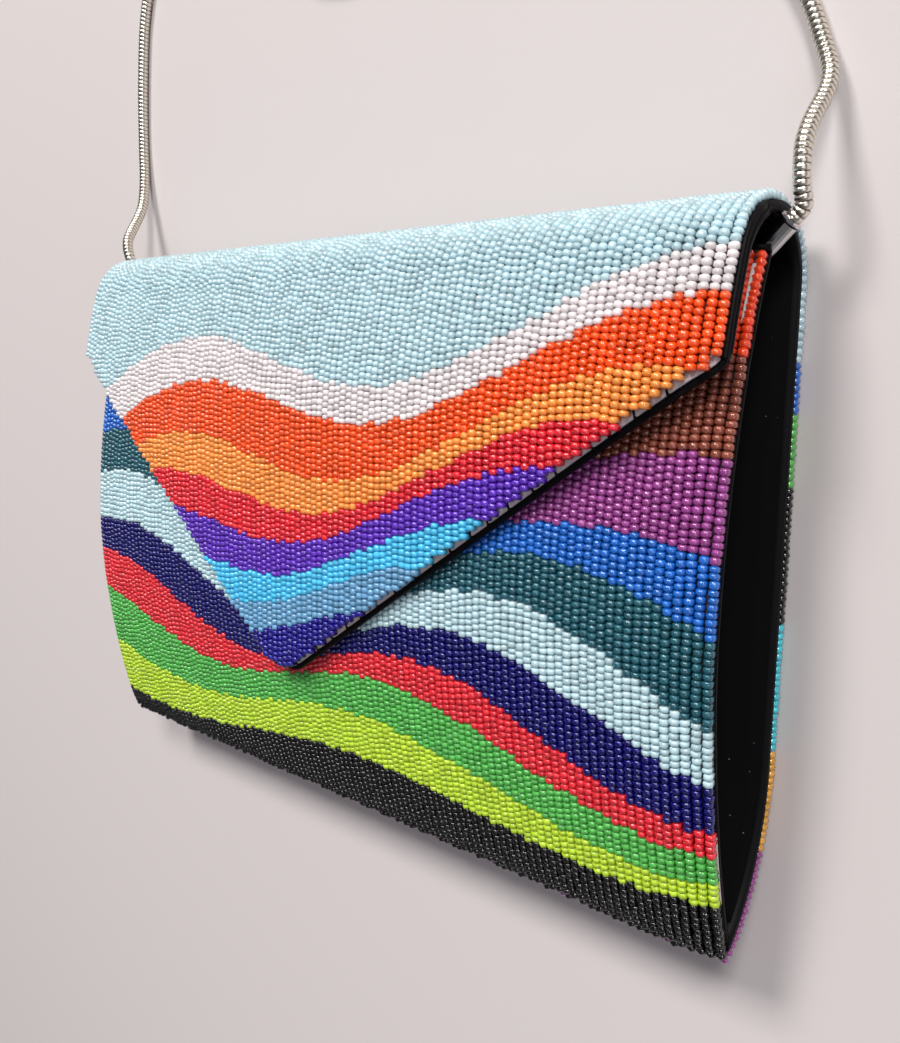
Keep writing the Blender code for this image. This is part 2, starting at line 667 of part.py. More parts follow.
def make_cap(name, side, metal):
    """Make one chain end: a crimped cap with a lip and an eye at its inner end."""
    body = turned([(0, 0), (CAP_RADIUS * 0.7, 0), (CAP_RADIUS, CAP_LIP_LENGTH),
                   (CAP_RADIUS, CAP_LENGTH - CAP_LIP_LENGTH),
                   (CAP_RADIUS + CAP_LIP, CAP_LENGTH - 0.6 * CAP_LIP_LENGTH),
                   (CAP_RADIUS + CAP_LIP, CAP_LENGTH - 0.3 * CAP_LIP_LENGTH),
                   (CAP_RADIUS, CAP_LENGTH), (0, CAP_LENGTH)], 20)
    eye = ring(CAP_EYE_RADIUS, CAP_EYE_WIRE, 16, 8)
    eye.transform(Matrix.Rotation(math.pi / 2, 4, "Y"))
    eye.transform(Matrix.Translation((0, 0, -CAP_EYE_OUT)))
    base = bpy.data.objects.new("cap_body", body)
    loop = bpy.data.objects.new("cap_eye", eye)
    for helper in (base, loop):
        TOOLS.objects.link(helper)
    join = base.modifiers.new("join", "BOOLEAN")
    join.operation = "UNION"
    join.object = loop
    mesh = evaluated_mesh(base)
    for helper in (base, loop):
        bpy.data.objects.remove(helper, do_unlink=True)
    mesh.transform(cap_frame(side)[2])
    add_object(name, mesh, metal)


def make_thread(name, side, thread):
    """Make the sewn thread loop that ties a cap's eye to the lining of the top fold."""
    frame = cap_frame(side)[2]
    lining_radius = CLOTH_FOLD_RADIUS + INNER_FACE
    middle = frame.translation
    depth = math.hypot(middle.y - FOLD_CENTRE[0], middle.z - FOLD_CENTRE[1])
    reach = lining_radius - depth - LAYER_GAP - THREAD_RADIUS
    radius = reach / (1 + math.sin(THREAD_TILT))
    loop = ring(radius, THREAD_RADIUS, 16, 8)
    loop.transform(Matrix.Rotation(math.pi / 2, 4, "X"))
    through = Vector((0, 0, -CAP_EYE_OUT))
    centre = through + radius * Vector((math.sin(THREAD_TILT), 0, -math.cos(THREAD_TILT)))
    loop.transform(frame @ Matrix.Translation(centre))
    add_object(name, loop, thread)


def chain_route(side, steps):
    """Return a strand's route from its cap to the coil."""
    end, along, _ = cap_frame(side)
    points = [end + along * TUBE_GAP, end + along * 0.0035]
    for out, behind, level in steps:
        points.append(Vector((side * (WIDTH / 2 + out), end.y + behind, level)))
    return points


def make_chain():
    """Make the chain's two strands and the coil that the rest of it is wound into."""
    metal = make_material("chain_metal", "A9A6A0", 0.28, 1.0)
    thread = make_material("sewing_thread", "101012", 0.8)
    centre = Vector((COIL_CENTRE_X, HEIGHT + COIL_BEHIND_FOLD, 0.0))
    outer = COIL_WINDING_RADIUS + CHAIN_DIAMETER
    inner = COIL_WINDING_RADIUS - CHAIN_DIAMETER
    low = CHAIN_LEVEL - CHAIN_DIAMETER / 2
    high = low + 2 * CHAIN_DIAMETER
    ease = CHAIN_DIAMETER / 3
    profile = [(inner + ease, low), (outer - ease, low), (outer, low + ease), (outer, high - ease),
               (outer - ease, high), (inner + ease, high), (inner, high - ease), (inner, low + ease)]
    coil = turned(profile + profile[:1], 40)
    coil.transform(Matrix.Translation(centre))
    add_object("chain_coil", coil, metal)
    run = COIL_WINDING_RADIUS + CHAIN_DIAMETER / 2
    beside = outer + CHAIN_DIAMETER / 2 + TUBE_GAP
    meet = math.sqrt(outer ** 2 - (run - CHAIN_DIAMETER / 2) ** 2) + 2 * TUBE_GAP
    right_end = Vector((centre.x + meet, centre.y - run, CHAIN_LEVEL))
    left_end = Vector((centre.x, centre.y - beside, CHAIN_LEVEL + CHAIN_DIAMETER))
    for name, side, steps, last in (("chain_right", 1, RIGHT_ROUTE, right_end),
                                    ("chain_left", -1, LEFT_ROUTE, left_end)):
        points = chain_route(side, steps) + [last]
        route = points[:1] + smooth_route(points[1:], ROUTE_STEP)
        add_object(name, tube(route, CHAIN_DIAMETER / 2), metal)
    for suffix, side in (("right", 1), ("left", -1)):
        make_cap("chain_cap_" + suffix, side, metal)
        make_thread("cap_thread_" + suffix, side, thread)


def hang_on_hinge():
    """Parent the flap and its half of the snap to an empty on the hinge line."""
    moving = [item for item in BAG.objects
              if item.name.startswith("flap_") or item.name == "snap_stud"]
    hinge = bpy.data.objects.new("hinge_axis", None)
    hinge.location = (0, HEIGHT / 2 + HINGE_OUT, FOLD_CENTRE[1])
    BAG.objects.link(hinge)
    for item in moving:
        item.parent = hinge
        item.matrix_parent_inverse = Matrix.Translation(-hinge.location)


def build():
    """Make the whole bag."""
    section, front_count = body_section()
    body = Fold(section, ends_at_hinge=True)
    flap = Fold(flap_section(), starts_at_hinge=True)
    bottom = body.stations[front_count - 1]
    hinge = body.stations[-1]
    make_cloths(body, flap, hinge)
    snap_station = make_snap(body, flap)
    seam = LAYER_GAP / 2
    snap_hole = (FLAP_TIP_X, snap_station, SNAP_RADIUS + SNAP_BEAD_CLEARANCE)
    bead_fields("front", body, (SIDE_SEAM, bottom - seam), FRONT_EDGES, FRONT_COLOURS,
                snap=snap_hole)
    bead_fields("back", body, (bottom + seam, hinge - HINGE_GAP / 2), BACK_EDGES, BACK_COLOURS,
                crest_share=0.5)
    bead_fields("flap", flap, (HINGE_GAP / 2, FLAP_DROP), FLAP_EDGES, FLAP_COLOURS,
                outline=flap_outline(FLAP_BEAD_MARGIN))
    make_gussets(body)
    make_chain()
    hang_on_hinge()


clear_scene()
BAG = new_collection("beaded_clutch")
TOOLS = new_collection("cutters")
build()
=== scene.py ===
# %% [markdown]
# # A beaded clutch
# The bag is two strips of cloth covered in glass seed beads, closed by a pointed flap and carried on a
# snake chain. It lies on its back: +X runs along the flap's fold, +Y from the bottom fold to the top
# fold and +Z out of the front. Every cloth and every bead is placed by three numbers of a flat
# drawing: x across the bag, s along the strip and h above the cloth. One function then bends the
# drawing round the bag, so all layers keep their distances.

# %% Load the frame
import math

import bmesh
import bpy
import numpy as np
from mathutils import Matrix, Vector, noise


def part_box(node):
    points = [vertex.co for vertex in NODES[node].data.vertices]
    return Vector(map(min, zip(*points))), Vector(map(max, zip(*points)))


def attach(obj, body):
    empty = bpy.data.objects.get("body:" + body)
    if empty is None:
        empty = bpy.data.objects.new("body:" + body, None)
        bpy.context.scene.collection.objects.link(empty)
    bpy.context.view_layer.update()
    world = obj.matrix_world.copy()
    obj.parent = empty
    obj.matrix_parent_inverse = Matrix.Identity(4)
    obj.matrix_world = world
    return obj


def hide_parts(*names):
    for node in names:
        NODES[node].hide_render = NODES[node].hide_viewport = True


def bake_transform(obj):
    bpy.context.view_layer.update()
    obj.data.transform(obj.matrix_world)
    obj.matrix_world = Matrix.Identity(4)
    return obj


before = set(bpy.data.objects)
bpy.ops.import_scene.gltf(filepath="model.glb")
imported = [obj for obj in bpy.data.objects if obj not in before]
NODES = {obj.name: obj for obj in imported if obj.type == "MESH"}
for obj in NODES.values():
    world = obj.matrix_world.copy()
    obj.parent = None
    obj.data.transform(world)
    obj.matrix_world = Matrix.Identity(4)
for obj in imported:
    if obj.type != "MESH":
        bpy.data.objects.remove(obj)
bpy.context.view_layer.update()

# %% [markdown]
# ## Small helpers
# A colour is written as an sRGB hex value and turned to linear light once, because the shaders count
# in linear light. One function adds a node with its settings and links, and one makes an object of a
# bmesh, so that the steps below only say what is special about a piece.


# %% Colour and nodes
def hex_colour(text):
    """Turn an sRGB hex value to a linear RGBA colour."""
    channels = [int(text[i:i + 2], 16) / 255 for i in (0, 2, 4)]
    linear = [c / 12.92 if c <= 0.04045 else ((c + 0.055) / 1.055) ** 2.4 for c in channels]
    return (*linear, 1.0)


def add_node(tree, kind, settings=None, links=None):
    """Add a node, set its inputs or properties, and link output sockets to its inputs by name."""
    node = tree.nodes.new(kind)
    for key, value in (settings or {}).items():
        if key in node.inputs:
            node.inputs[key].default_value = value
        else:
            setattr(node, key, value)
    for key, socket in (links or {}).items():
        tree.links.new(socket, node.inputs[key])
    return node


def colour_mix(tree, factor, first, second):
    """Mix two colours, each a hex value or a socket, by a socket. Return the mixed colour."""
    mix = add_node(tree, "ShaderNodeMix", {"data_type": "RGBA"})
    tree.links.new(factor, mix.inputs[0])
    # This node has an A and a B for every data type: numbers 6 and 7 are the colours.
    for number, colour in ((6, first), (7, second)):
        if isinstance(colour, str):
            mix.inputs[number].default_value = hex_colour(colour)
        else:
            tree.links.new(colour, mix.inputs[number])
    return mix.outputs[2]


# %% Materials and pieces
def new_material(name):
    """Return a new material, its tree and its Principled shader."""
    material = bpy.data.materials.new(name)
    material.use_nodes = True
    tree = material.node_tree
    return material, tree, tree.nodes["Principled BSDF"]


def add_piece(name, source, material, smooth=True):
    """Make an object of a bmesh or a mesh, with one material."""
    if isinstance(source, bmesh.types.BMesh):
        mesh = bpy.data.meshes.new(name)
        source.to_mesh(mesh)
        source.free()
    else:
        mesh = source
    if smooth:
        mesh.shade_smooth()
    mesh.materials.clear()
    mesh.materials.append(material)
    piece = bpy.data.objects.new(name, mesh)
    bpy.context.scene.collection.objects.link(piece)
    print(name, len(mesh.polygons), "faces")
    return piece


def point_outwards(bm):
    """Turn a closed mesh's faces outwards."""
    bmesh.ops.recalc_face_normals(bm, faces=bm.faces)
    if bm.calc_volume(signed=True) < 0:
        bmesh.ops.reverse_faces(bm, faces=bm.faces)


# %% [markdown]
# ## Shared sizes
# The half width is read from the solid of the ground cloth, so the dressing can't drift away from it.
# The others repeat the values that the solids were made with, because several layers share a solid's
# outside and their faces can't be read one by one. The height h counts from the ground cloth's outer
# face, so what lies below the beads has negative heights.

# %% Shared sizes in metres
SIDE_SEAM = 0.0006
HALF = Vector(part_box("body_cloth")[1]).x
WIDTH = 2 * (HALF + SIDE_SEAM)
HEIGHT = 0.158
BEAD_CREST = 0.0022
LAYER_GAP = 0.0003
LINING_THICKNESS = 0.0006
CLOTH_THICKNESS = 0.0011
INNER_FACE = -CLOTH_THICKNESS - LAYER_GAP - LINING_THICKNESS
print("bag", round(WIDTH, 4), "by", round(HEIGHT, 4))

# %% [markdown]
# ## The camera
# A pinhole camera fitted to the front's corners looks at the bag from its right side. The bag in the
# photograph is upright, and here it lies on its back, so the same camera looks down on it. Its axes
# are the columns of its matrix, and the lens follows from the focal length in pixels, which is surer
# than turning the camera by eye.

# %% Camera
PHOTO_HEIGHT = 1043
FOCAL_PIXELS = 1050
SENSOR = 36.0
CLIP_START = 0.01
CAMERA_PLACE = (0.21486, 0.12234 - HEIGHT / 2, 0.20693)
CAMERA_AXES = ((0.7213, 0.0209, -0.6923), (-0.1125, 0.9898, -0.0874), (0.6834, 0.1409, 0.7163))
lens = bpy.data.cameras.new("camera")
lens.sensor_width = SENSOR
lens.lens = SENSOR * FOCAL_PIXELS / PHOTO_HEIGHT
lens.clip_start = CLIP_START
camera = bpy.data.objects.new("camera", lens)
bpy.context.scene.collection.objects.link(camera)
camera.matrix_world = Matrix.Translation(CAMERA_PLACE) @ Matrix(CAMERA_AXES).transposed().to_4x4()
bpy.context.scene.camera = camera
print("lens", round(lens.lens, 2), "mm")

# %% [markdown]
# ## The chain's route
# A snake chain is one length of about a metre. It leaves the right cap, crosses the table, is wound
# into a neat coil of two windings in two layers behind the bag, and comes back to the left cap. A
# simulation could drop it there, but its coil wouldn't come out neat. The strands' points are
# therefore listed, as the solids have them: sideways from the bag's side, backwards from the
# cap and up from the table.

# %% The strands' points
CHAIN_DIAMETER = 0.0035
CHAIN_LEVEL = 0.00195
CAP_SIDE_OUT = 0.0020
CAP_BELOW_FOLD = 0.0055
CAP_LEVEL = 0.0150
CAP_TURN = math.radians(45)
CHAIN_LEADS = (-0.0012, 0.0012, 0.0035)
RIGHT_ROUTE = (
    (0.0039, 0.0040, 0.0156), (0.0041, 0.0070, 0.0162), (0.0038, 0.0105, 0.0163),
    (0.0034, 0.0145, 0.0148), (0.0030, 0.0190, 0.0112), (0.0028, 0.0235, 0.0070),
    (0.0022, 0.0288, 0.0037), (-0.0010, 0.0363, CHAIN_LEVEL), (-0.0055, 0.0463, CHAIN_LEVEL),
    (-0.0150, 0.0603, CHAIN_LEVEL), (-0.0330, 0.0733, CHAIN_LEVEL), (-0.0560, 0.0813, CHAIN_LEVEL),
    (-0.0800, 0.0838, CHAIN_LEVEL),
)
LEFT_ROUTE = (
    (0.0041, 0.0045, 0.0157), (0.0058, 0.0083, 0.0160), (0.0080, 0.0130, 0.0148),
    (0.0108, 0.0180, 0.0108), (0.0140, 0.0255, 0.0056), (0.0168, 0.0353, 0.0029),
    (0.0185, 0.0483, CHAIN_LEVEL), (0.0182, 0.0683, CHAIN_LEVEL), (0.0158, 0.0903, CHAIN_LEVEL),
    (0.0090, 0.1063, CHAIN_LEVEL), (-0.0060, 0.1163, CHAIN_LEVEL), (-0.0270, 0.1153, CHAIN_LEVEL),
    (-0.0500, 0.1038, 0.0029), (-0.0720, 0.0893, 0.0045), (-0.0900, 0.0820, 0.0053),
)


def cap_end(side):
    """Return the place and direction in which the chain leaves a cap."""
    along = Vector((side * math.cos(CAP_TURN), math.sin(CAP_TURN), 0.0))
    place = Vector((side * (WIDTH / 2 + CAP_SIDE_OUT), HEIGHT / 2 - CAP_BELOW_FOLD, CAP_LEVEL))
    return place, along


def strand_points(side, route):
    """Return a strand's points from inside its cap to the coil."""
    place, along = cap_end(side)
    points = [place + along * lead for lead in CHAIN_LEADS]
    for out, behind, level in route:
        points.append(Vector((side * (WIDTH / 2 + out), place.y + behind, level)))
    return points


right_strand = strand_points(1, RIGHT_ROUTE)
left_strand = strand_points(-1, LEFT_ROUTE)
print("strand points", len(right_strand), len(left_strand))

# %% [markdown]
# The coil's turns come from a loop round its centre. The chain winds outside, then inside, climbs
# and winds inside, then outside again, as a hand lays it, so its turns never meet. Each move takes
# some degrees of the winding and is eased at both ends, which keeps the bends wide.

# %% The coil
COIL_CENTRE = (0.0, HEIGHT / 2 + 0.106)
COIL_WINDING_RADIUS = 0.024
COIL_TURNS = 4
COIL_STEP = 15
COIL_START = -90
MOVE_IN = (275, 355)
CLIMB = (625, 705)
MOVE_OUT = (985, 1070)
LEAVE_COIL = (1340, 1440)
LEAVE_CLEARANCE = 0.0006


def ease(value, low, high):
    """Return 0 below low, 1 above high and a smooth rise between."""
    share = min(max((value - low) / (high - low), 0.0), 1.0)
    return share * share * (3 - 2 * share)


def coil_points():
    """Return the coil's turns: outer then inner below, inner then outer above."""
    outer = COIL_WINDING_RADIUS + CHAIN_DIAMETER / 2
    inner = COIL_WINDING_RADIUS - CHAIN_DIAMETER / 2
    points = []
    for turned in range(COIL_STEP, COIL_TURNS * 360, COIL_STEP):
        radius = outer + (inner - outer) * ease(turned, *MOVE_IN)
        radius += (outer - inner) * ease(turned, *MOVE_OUT)
        radius += (CHAIN_DIAMETER + LEAVE_CLEARANCE) * ease(turned, *LEAVE_COIL)
        level = CHAIN_LEVEL + CHAIN_DIAMETER * ease(turned, *CLIMB)
        angle = math.radians(COIL_START - turned)
        points.append(Vector((COIL_CENTRE[0] + radius * math.cos(angle),
                              COIL_CENTRE[1] + radius * math.sin(angle), level)))
    return points


coil = coil_points()
print("coil points", len(coil))

# %% The whole route as a smooth line
LINE_STEP = 0.001
CURVE_STEPS = 16


def smooth_line(points, step):
    """Return evenly spaced points on a smooth curve through the given ones, and their distances."""
    ends = [2 * points[0] - points[1]] + points + [2 * points[-1] - points[-2]]
    fine = []
    for a, b, c, d in zip(ends, ends[1:], ends[2:], ends[3:]):
        for k in range(CURVE_STEPS):
            t = k / CURVE_STEPS
            fine.append(0.5 * (2 * b + (c - a) * t + (2 * a - 5 * b + 4 * c - d) * t * t
                               + (3 * b - a - 3 * c + d) * t ** 3))
    fine = np.array([tuple(p) for p in fine] + [tuple(points[-1])])
    lengths = np.concatenate([[0.0], np.cumsum(np.linalg.norm(np.diff(fine, axis=0), axis=1))])
    stops = np.linspace(0.0, lengths[-1], max(2, round(lengths[-1] / step)) + 1)
    line = np.stack([np.interp(stops, lengths, fine[:, i]) for i in range(3)], axis=1)
    return line, stops


coil_start = Vector((COIL_CENTRE[0], COIL_CENTRE[1] - COIL_WINDING_RADIUS - CHAIN_DIAMETER / 2,
                     CHAIN_LEVEL))
route = right_strand + [coil_start] + coil + left_strand[::-1]
chain_line, chain_stops = smooth_line(route, LINE_STEP)
chain_path = chain_line[::4]

# %% [markdown]
# ## The chain
# A snake chain is a wound metal tube of thin plates, which reads as short rounded segments with dark
# grooves between them. Plates copied along the line would cost a hundred times the faces, so the
# chain is one tube. Each segment gets three rings, one of them drawn in, and the groove ring carries
# an attribute by which the metal's colour is darkened: painted shade in the grooves.

# %% The chain's tube
CHAIN_SEGMENT = 0.0013
CHAIN_SIDES = 10
CHAIN_MESH_STEP = 0.0004
GROOVE_FACTOR = 1.0 - 0.20
SEGMENT_RINGS = ((0.16, 1.0), (0.84, 1.0), (1.0, GROOVE_FACTOR))


def chain_mesh(name, points):
    """Return a mesh tube of drawn-in segments along a line of points."""
    fine, stops = smooth_line([Vector(p) for p in points], CHAIN_MESH_STEP)
    length = float(stops[-1])
    count = round(length / CHAIN_SEGMENT)
    marks, factors = [0.0], [GROOVE_FACTOR]
    for i in range(count):
        for share, factor in SEGMENT_RINGS:
            marks.append((i + share) * length / count)
            factors.append(factor)
    marks, factors = np.array(marks), np.array(factors)
    centres = np.stack([np.interp(marks, stops, fine[:, i]) for i in range(3)], axis=1)
    runs = np.gradient(centres, marks, axis=0)
    runs /= np.linalg.norm(runs, axis=1, keepdims=True)
    across = np.cross(runs, (0.0, 0.0, 1.0))
    across /= np.linalg.norm(across, axis=1, keepdims=True)
    above = np.cross(across, runs)
    angles = 2 * np.pi * np.arange(CHAIN_SIDES) / CHAIN_SIDES
    radius = CHAIN_DIAMETER / 2 * factors
    spokes = (across[:, None, :] * np.cos(angles)[None, :, None]
              + above[:, None, :] * np.sin(angles)[None, :, None])
    verts = (centres[:, None, :] + spokes * radius[:, None, None]).reshape(-1, 3)
    faces = []
    for ring in range(len(marks) - 1):
        low, high = ring * CHAIN_SIDES, (ring + 1) * CHAIN_SIDES
        for k in range(CHAIN_SIDES):
            n = (k + 1) % CHAIN_SIDES
            faces.append((low + k, high + k, high + n, low + n))
    faces.append(tuple(range(CHAIN_SIDES)))
    faces.append(tuple(range(len(verts) - 1, len(verts) - 1 - CHAIN_SIDES, -1)))
    mesh = bpy.data.meshes.new(name)
    mesh.from_pydata(verts.tolist(), [], faces)
    # Painted shade: this marks the groove rings, whose colour the metal darkens.
    groove_shade = mesh.attributes.new("groove_shade", "FLOAT", "POINT")
    groove_shade.data.foreach_set("value", np.repeat((factors < 1.0).astype(float), CHAIN_SIDES))
    return mesh


# %% The chain's metal
# Painted shade: the colour that the chain's grooves are darkened to.
GROOVE_SHADE_COLOUR = "1A1A1E"


def metal_material(name, colour, roughness, groove_shade=False):
    """Return a bright plated metal, its colour darkened in the grooves as painted shade if asked."""
    material, tree, shader = new_material(name)
    shader.inputs["Metallic"].default_value = 1.0
    shader.inputs["Roughness"].default_value = roughness
    if groove_shade:
        groove_shade_mark = add_node(tree, "ShaderNodeAttribute", {"attribute_name": "groove_shade"})
        tone = colour_mix(tree, groove_shade_mark.outputs["Fac"], colour, GROOVE_SHADE_COLOUR)
        tree.links.new(tone, shader.inputs["Base Color"])
    else:
        shader.inputs["Base Color"].default_value = hex_colour(colour)
    return material


# Nickel plate, tumbled: a warm silver whose highlights are a little spread.
# Its grooves are darkened as painted shade.
chain_metal = metal_material("chain_nickel_plate", "E8E0D2", 0.28, groove_shade=True)
chain = add_piece("snake_chain", chain_mesh("snake_chain", chain_path), chain_metal)
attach(chain, "bag")
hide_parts("chain_right", "chain_left", "chain_coil")

# %% [markdown]
# ## The side section
# One strip runs from the mouth down the front, round the bottom fold, up the back, round the top fold
# and down over the front again as the flap. Its side section is a chain of smooth curves. A handle
# is how far a curve keeps its first direction, as a share of its span. Cloth could be draped by a
# simulation, but this bag is stiff with beads, and its section can be read off the photograph.

# %% The curves of the section
CURVE_POINTS = 48
TOP_FOLD_RADIUS = 0.0165
FOLD_CENTRE = (HEIGHT - TOP_FOLD_RADIUS, TOP_FOLD_RADIUS)
CLOTH_FOLD_RADIUS = TOP_FOLD_RADIUS - BEAD_CREST


def cubic(start, first, second, end):
    """Return the points of a cubic curve after its start."""
    t = (np.arange(1, CURVE_POINTS + 1) / CURVE_POINTS)[:, None]
    p, q, r, w = (np.array(v, float)[None, :] for v in (start, first, second, end))
    return (1 - t) ** 3 * p + 3 * (1 - t) ** 2 * t * q + 3 * (1 - t) * t ** 2 * r + t ** 3 * w


def fold_arc(start, end):
    """Return points round the top fold after the start angle."""
    angles = start + (end - start) * np.arange(1, CURVE_POINTS + 1) / CURVE_POINTS
    return np.stack([FOLD_CENTRE[0] + CLOTH_FOLD_RADIUS * np.cos(angles),
                     FOLD_CENTRE[1] + CLOTH_FOLD_RADIUS * np.sin(angles)], axis=1)


# %% The body's section, from the mouth to the back
BELLY_DEPTH = 0.033
BELLY_Y = 0.072
BOTTOM_FOLD_LEVEL = 0.0175
MOUTH_DROP = 0.011
MOUTH_LEVEL = 0.0213
MOUTH_LEAN = math.radians(19)
MOUTH_LEAD = 0.004
BACK_REST_START = 0.040
MOUTH_HANDLE, BELLY_HANDLE = 0.24, 0.4
LOWER_HANDLE, BOTTOM_HANDLE = 0.58, 0.19
BACK_HANDLE, REST_HANDLE = 0.2, 0.45
BACK_POINTS = 30


def body_runs():
    """Return the runs of y and z from a little before the mouth to the top fold's start."""
    mouth = (HEIGHT - MOUTH_DROP, MOUTH_LEVEL - BEAD_CREST)
    belly = (BELLY_Y, BELLY_DEPTH - BEAD_CREST)
    bottom = (BEAD_CREST, BOTTOM_FOLD_LEVEL)
    rest = (BACK_REST_START, BEAD_CREST)
    lean = (-math.cos(MOUTH_LEAN), math.sin(MOUTH_LEAN))
    reach = MOUTH_HANDLE * (mouth[0] - belly[0])
    before = (mouth[0] - MOUTH_LEAD * lean[0], mouth[1] - MOUTH_LEAD * lean[1])
    front = cubic(mouth, (mouth[0] + lean[0] * reach, mouth[1] + lean[1] * reach),
                  (belly[0] + BELLY_HANDLE * (mouth[0] - belly[0]), belly[1]), belly)
    lower = cubic(belly, (LOWER_HANDLE * belly[0], belly[1]),
                  (bottom[0], bottom[1] + BOTTOM_HANDLE * (belly[1] - bottom[1])), bottom)
    behind = cubic(bottom, (bottom[0], bottom[1] - BACK_HANDLE * (bottom[1] - rest[1])),
                   (REST_HANDLE * rest[0], rest[1]), rest)
    flat = np.linspace(rest, (FOLD_CENTRE[0], BEAD_CREST), BACK_POINTS)[1:]
    return [np.array([before, mouth]), front, lower, behind, flat]


# %% The flap's section
FLAP_DROP = 0.1225
FLAP_ARC = math.radians(76)
FLAP_LEVEL = 0.0359
FLAP_TIP_SINK = 0.0010
FLAP_CORNER_RADIUS = 0.005
SHOULDER, SHOULDER_HANDLE, TIP_HANDLE = 0.74, 0.36, 0.4


def flap_runs():
    """Return the runs of y and z round the top fold and down to a little past the flap's tip."""
    runs = [fold_arc(-math.pi / 2, 0.0), fold_arc(0.0, FLAP_ARC)]
    leave = runs[-1][-1]
    shoulder = (SHOULDER * leave[0], FLAP_LEVEL)
    reach = SHOULDER_HANDLE * (leave[0] - shoulder[0])
    runs.append(cubic(leave, (leave[0] - reach * math.sin(FLAP_ARC),
                              leave[1] + reach * math.cos(FLAP_ARC)),
                      (shoulder[0] + reach, FLAP_LEVEL), shoulder))
    end_y = leave[0] - (FLAP_DROP - CLOTH_FOLD_RADIUS * FLAP_ARC) - FLAP_CORNER_RADIUS
    span = shoulder[0] - end_y
    runs.append(cubic(shoulder, (shoulder[0] - TIP_HANDLE * span, FLAP_LEVEL),
                      (end_y + TIP_HANDLE * span, FLAP_LEVEL - 0.5 * FLAP_TIP_SINK),
                      (end_y, FLAP_LEVEL - FLAP_TIP_SINK)))
    return runs


# %% The whole strip
SECTION_STEP = 0.00025


def strip_section():
    """Return the section's s, y and z, and the s of the bottom fold and of the hinge."""
    runs = body_runs() + flap_runs()
    points = np.concatenate(runs)
    lengths = np.concatenate([[0.0], np.cumsum(np.linalg.norm(np.diff(points, axis=0), axis=1))])
    lengths -= lengths[1]
    ends = np.cumsum([len(run) for run in runs]) - 1
    stops = np.arange(lengths[0], lengths[-1], SECTION_STEP)
    ys = np.interp(stops, lengths, points[:, 0]) - HEIGHT / 2
    zs = np.interp(stops, lengths, points[:, 1])
    return stops, ys, zs, lengths[ends[2]], lengths[ends[5]]


STRIP_S, STRIP_Y, STRIP_Z, BOTTOM_S, HINGE_S = strip_section()
STRIP_RUN_Y = np.gradient(STRIP_Y, STRIP_S)
STRIP_RUN_Z = np.gradient(STRIP_Z, STRIP_S)
TIP_S = HINGE_S + FLAP_DROP
print("bottom at", round(BOTTOM_S, 4), "hinge at", round(HINGE_S, 4), "tip at", round(TIP_S, 4))

# %% [markdown]
# The real bag's sides also roll back a little at the seams, because the beads pull the cloth over its
# padding. So the last part of x bends inwards on a wide radius. The right side rolls more than the
# left, and the back less than the front. The folds themselves don't roll, as the square of the run
# along Y takes the turn away there.

# %% Placing on the strip
ROLL_START = HALF - 0.011
ROLL_RADIUS = 0.026
ROLL_RIGHT = 0.75
ROLL_LEFT = 0.10
ROLL_BACK = 0.45


def strip_frame(x, s):
    """Return the cloth's point, its direction across, its direction back along and its normal."""
    side = np.sign(x)
    run_y = np.interp(s, STRIP_S, STRIP_RUN_Y)
    run_z = np.interp(s, STRIP_S, STRIP_RUN_Z)
    size = np.hypot(run_y, run_z)
    run_y, run_z = run_y / size, run_z / size
    strength = np.where(x > 0, ROLL_RIGHT, ROLL_LEFT) * np.where(run_y < 0, 1.0, ROLL_BACK)
    over = np.clip(np.abs(x) - ROLL_START, 0.0, None)
    turn = over / ROLL_RADIUS * strength * run_y ** 2
    drop = over * turn / 2
    point = np.stack([side * (np.minimum(np.abs(x), ROLL_START) + over * (1 - turn ** 2 / 6)),
                      np.interp(s, STRIP_S, STRIP_Y) - drop * run_z,
                      np.interp(s, STRIP_S, STRIP_Z) + drop * run_y], axis=-1)
    across = np.stack([np.cos(turn), -side * np.sin(turn) * run_z,
                       side * np.sin(turn) * run_y], axis=-1)
    back = np.stack([np.zeros_like(run_y), -run_y, -run_z], axis=-1)
    normal = np.stack([side * np.sin(turn), np.cos(turn) * run_z, -np.cos(turn) * run_y], axis=-1)
    return point, across, back, normal


def on_strip(x, s, h):
    """Return the place of flat drawing points on the bag."""
    x, s, h = (np.atleast_1d(np.asarray(v, float)) for v in (x, s, h))
    x, s, h = np.broadcast_arrays(x, s, h)
    point, _, _, normal = strip_frame(x, s)
    return point + normal * h[..., None]


print("front's middle", on_strip(0.0, BOTTOM_S / 2, 0.0).round(4).tolist())

# %% [markdown]
# ## Beads
# Size 11/0 seed beads are sewn in columns: a bead is about 2.1 mm across and 1.5 mm long, and its
# hole runs down the column. Hand beading isn't even, so lengths vary by some percent, each bead
# leans a little its own way, and the rows of two columns meet like bricks. Near the right side the
# rows lie almost level. A seeded generator draws the differences, so they come out alike at each run.

# %% Bead sites
COLUMNS = 107
COLUMN_PITCH = 2 * HALF / COLUMNS
SITES_PER_COLUMN = 340
BEAD_LENGTH = 0.0015
BEAD_RADIUS = 0.00111
BEAD_HEIGHT = 0.00112
FIRST_BEAD = SIDE_SEAM - 0.0002
LEVEL_ROWS_FROM = HALF - 0.016
ROW_STEP, LEVEL_ROW_STEP, ROW_SPREAD = 0.44, 0.14, 0.10
LENGTH_SPREAD, LENGTH_LIMITS = 0.085, (0.80, 1.24)
WIDTH_SPREAD, WIDTH_LIMITS = 0.045, (0.88, 1.08)
SIDE_WANDER = 0.00007
rng = np.random.default_rng(11)


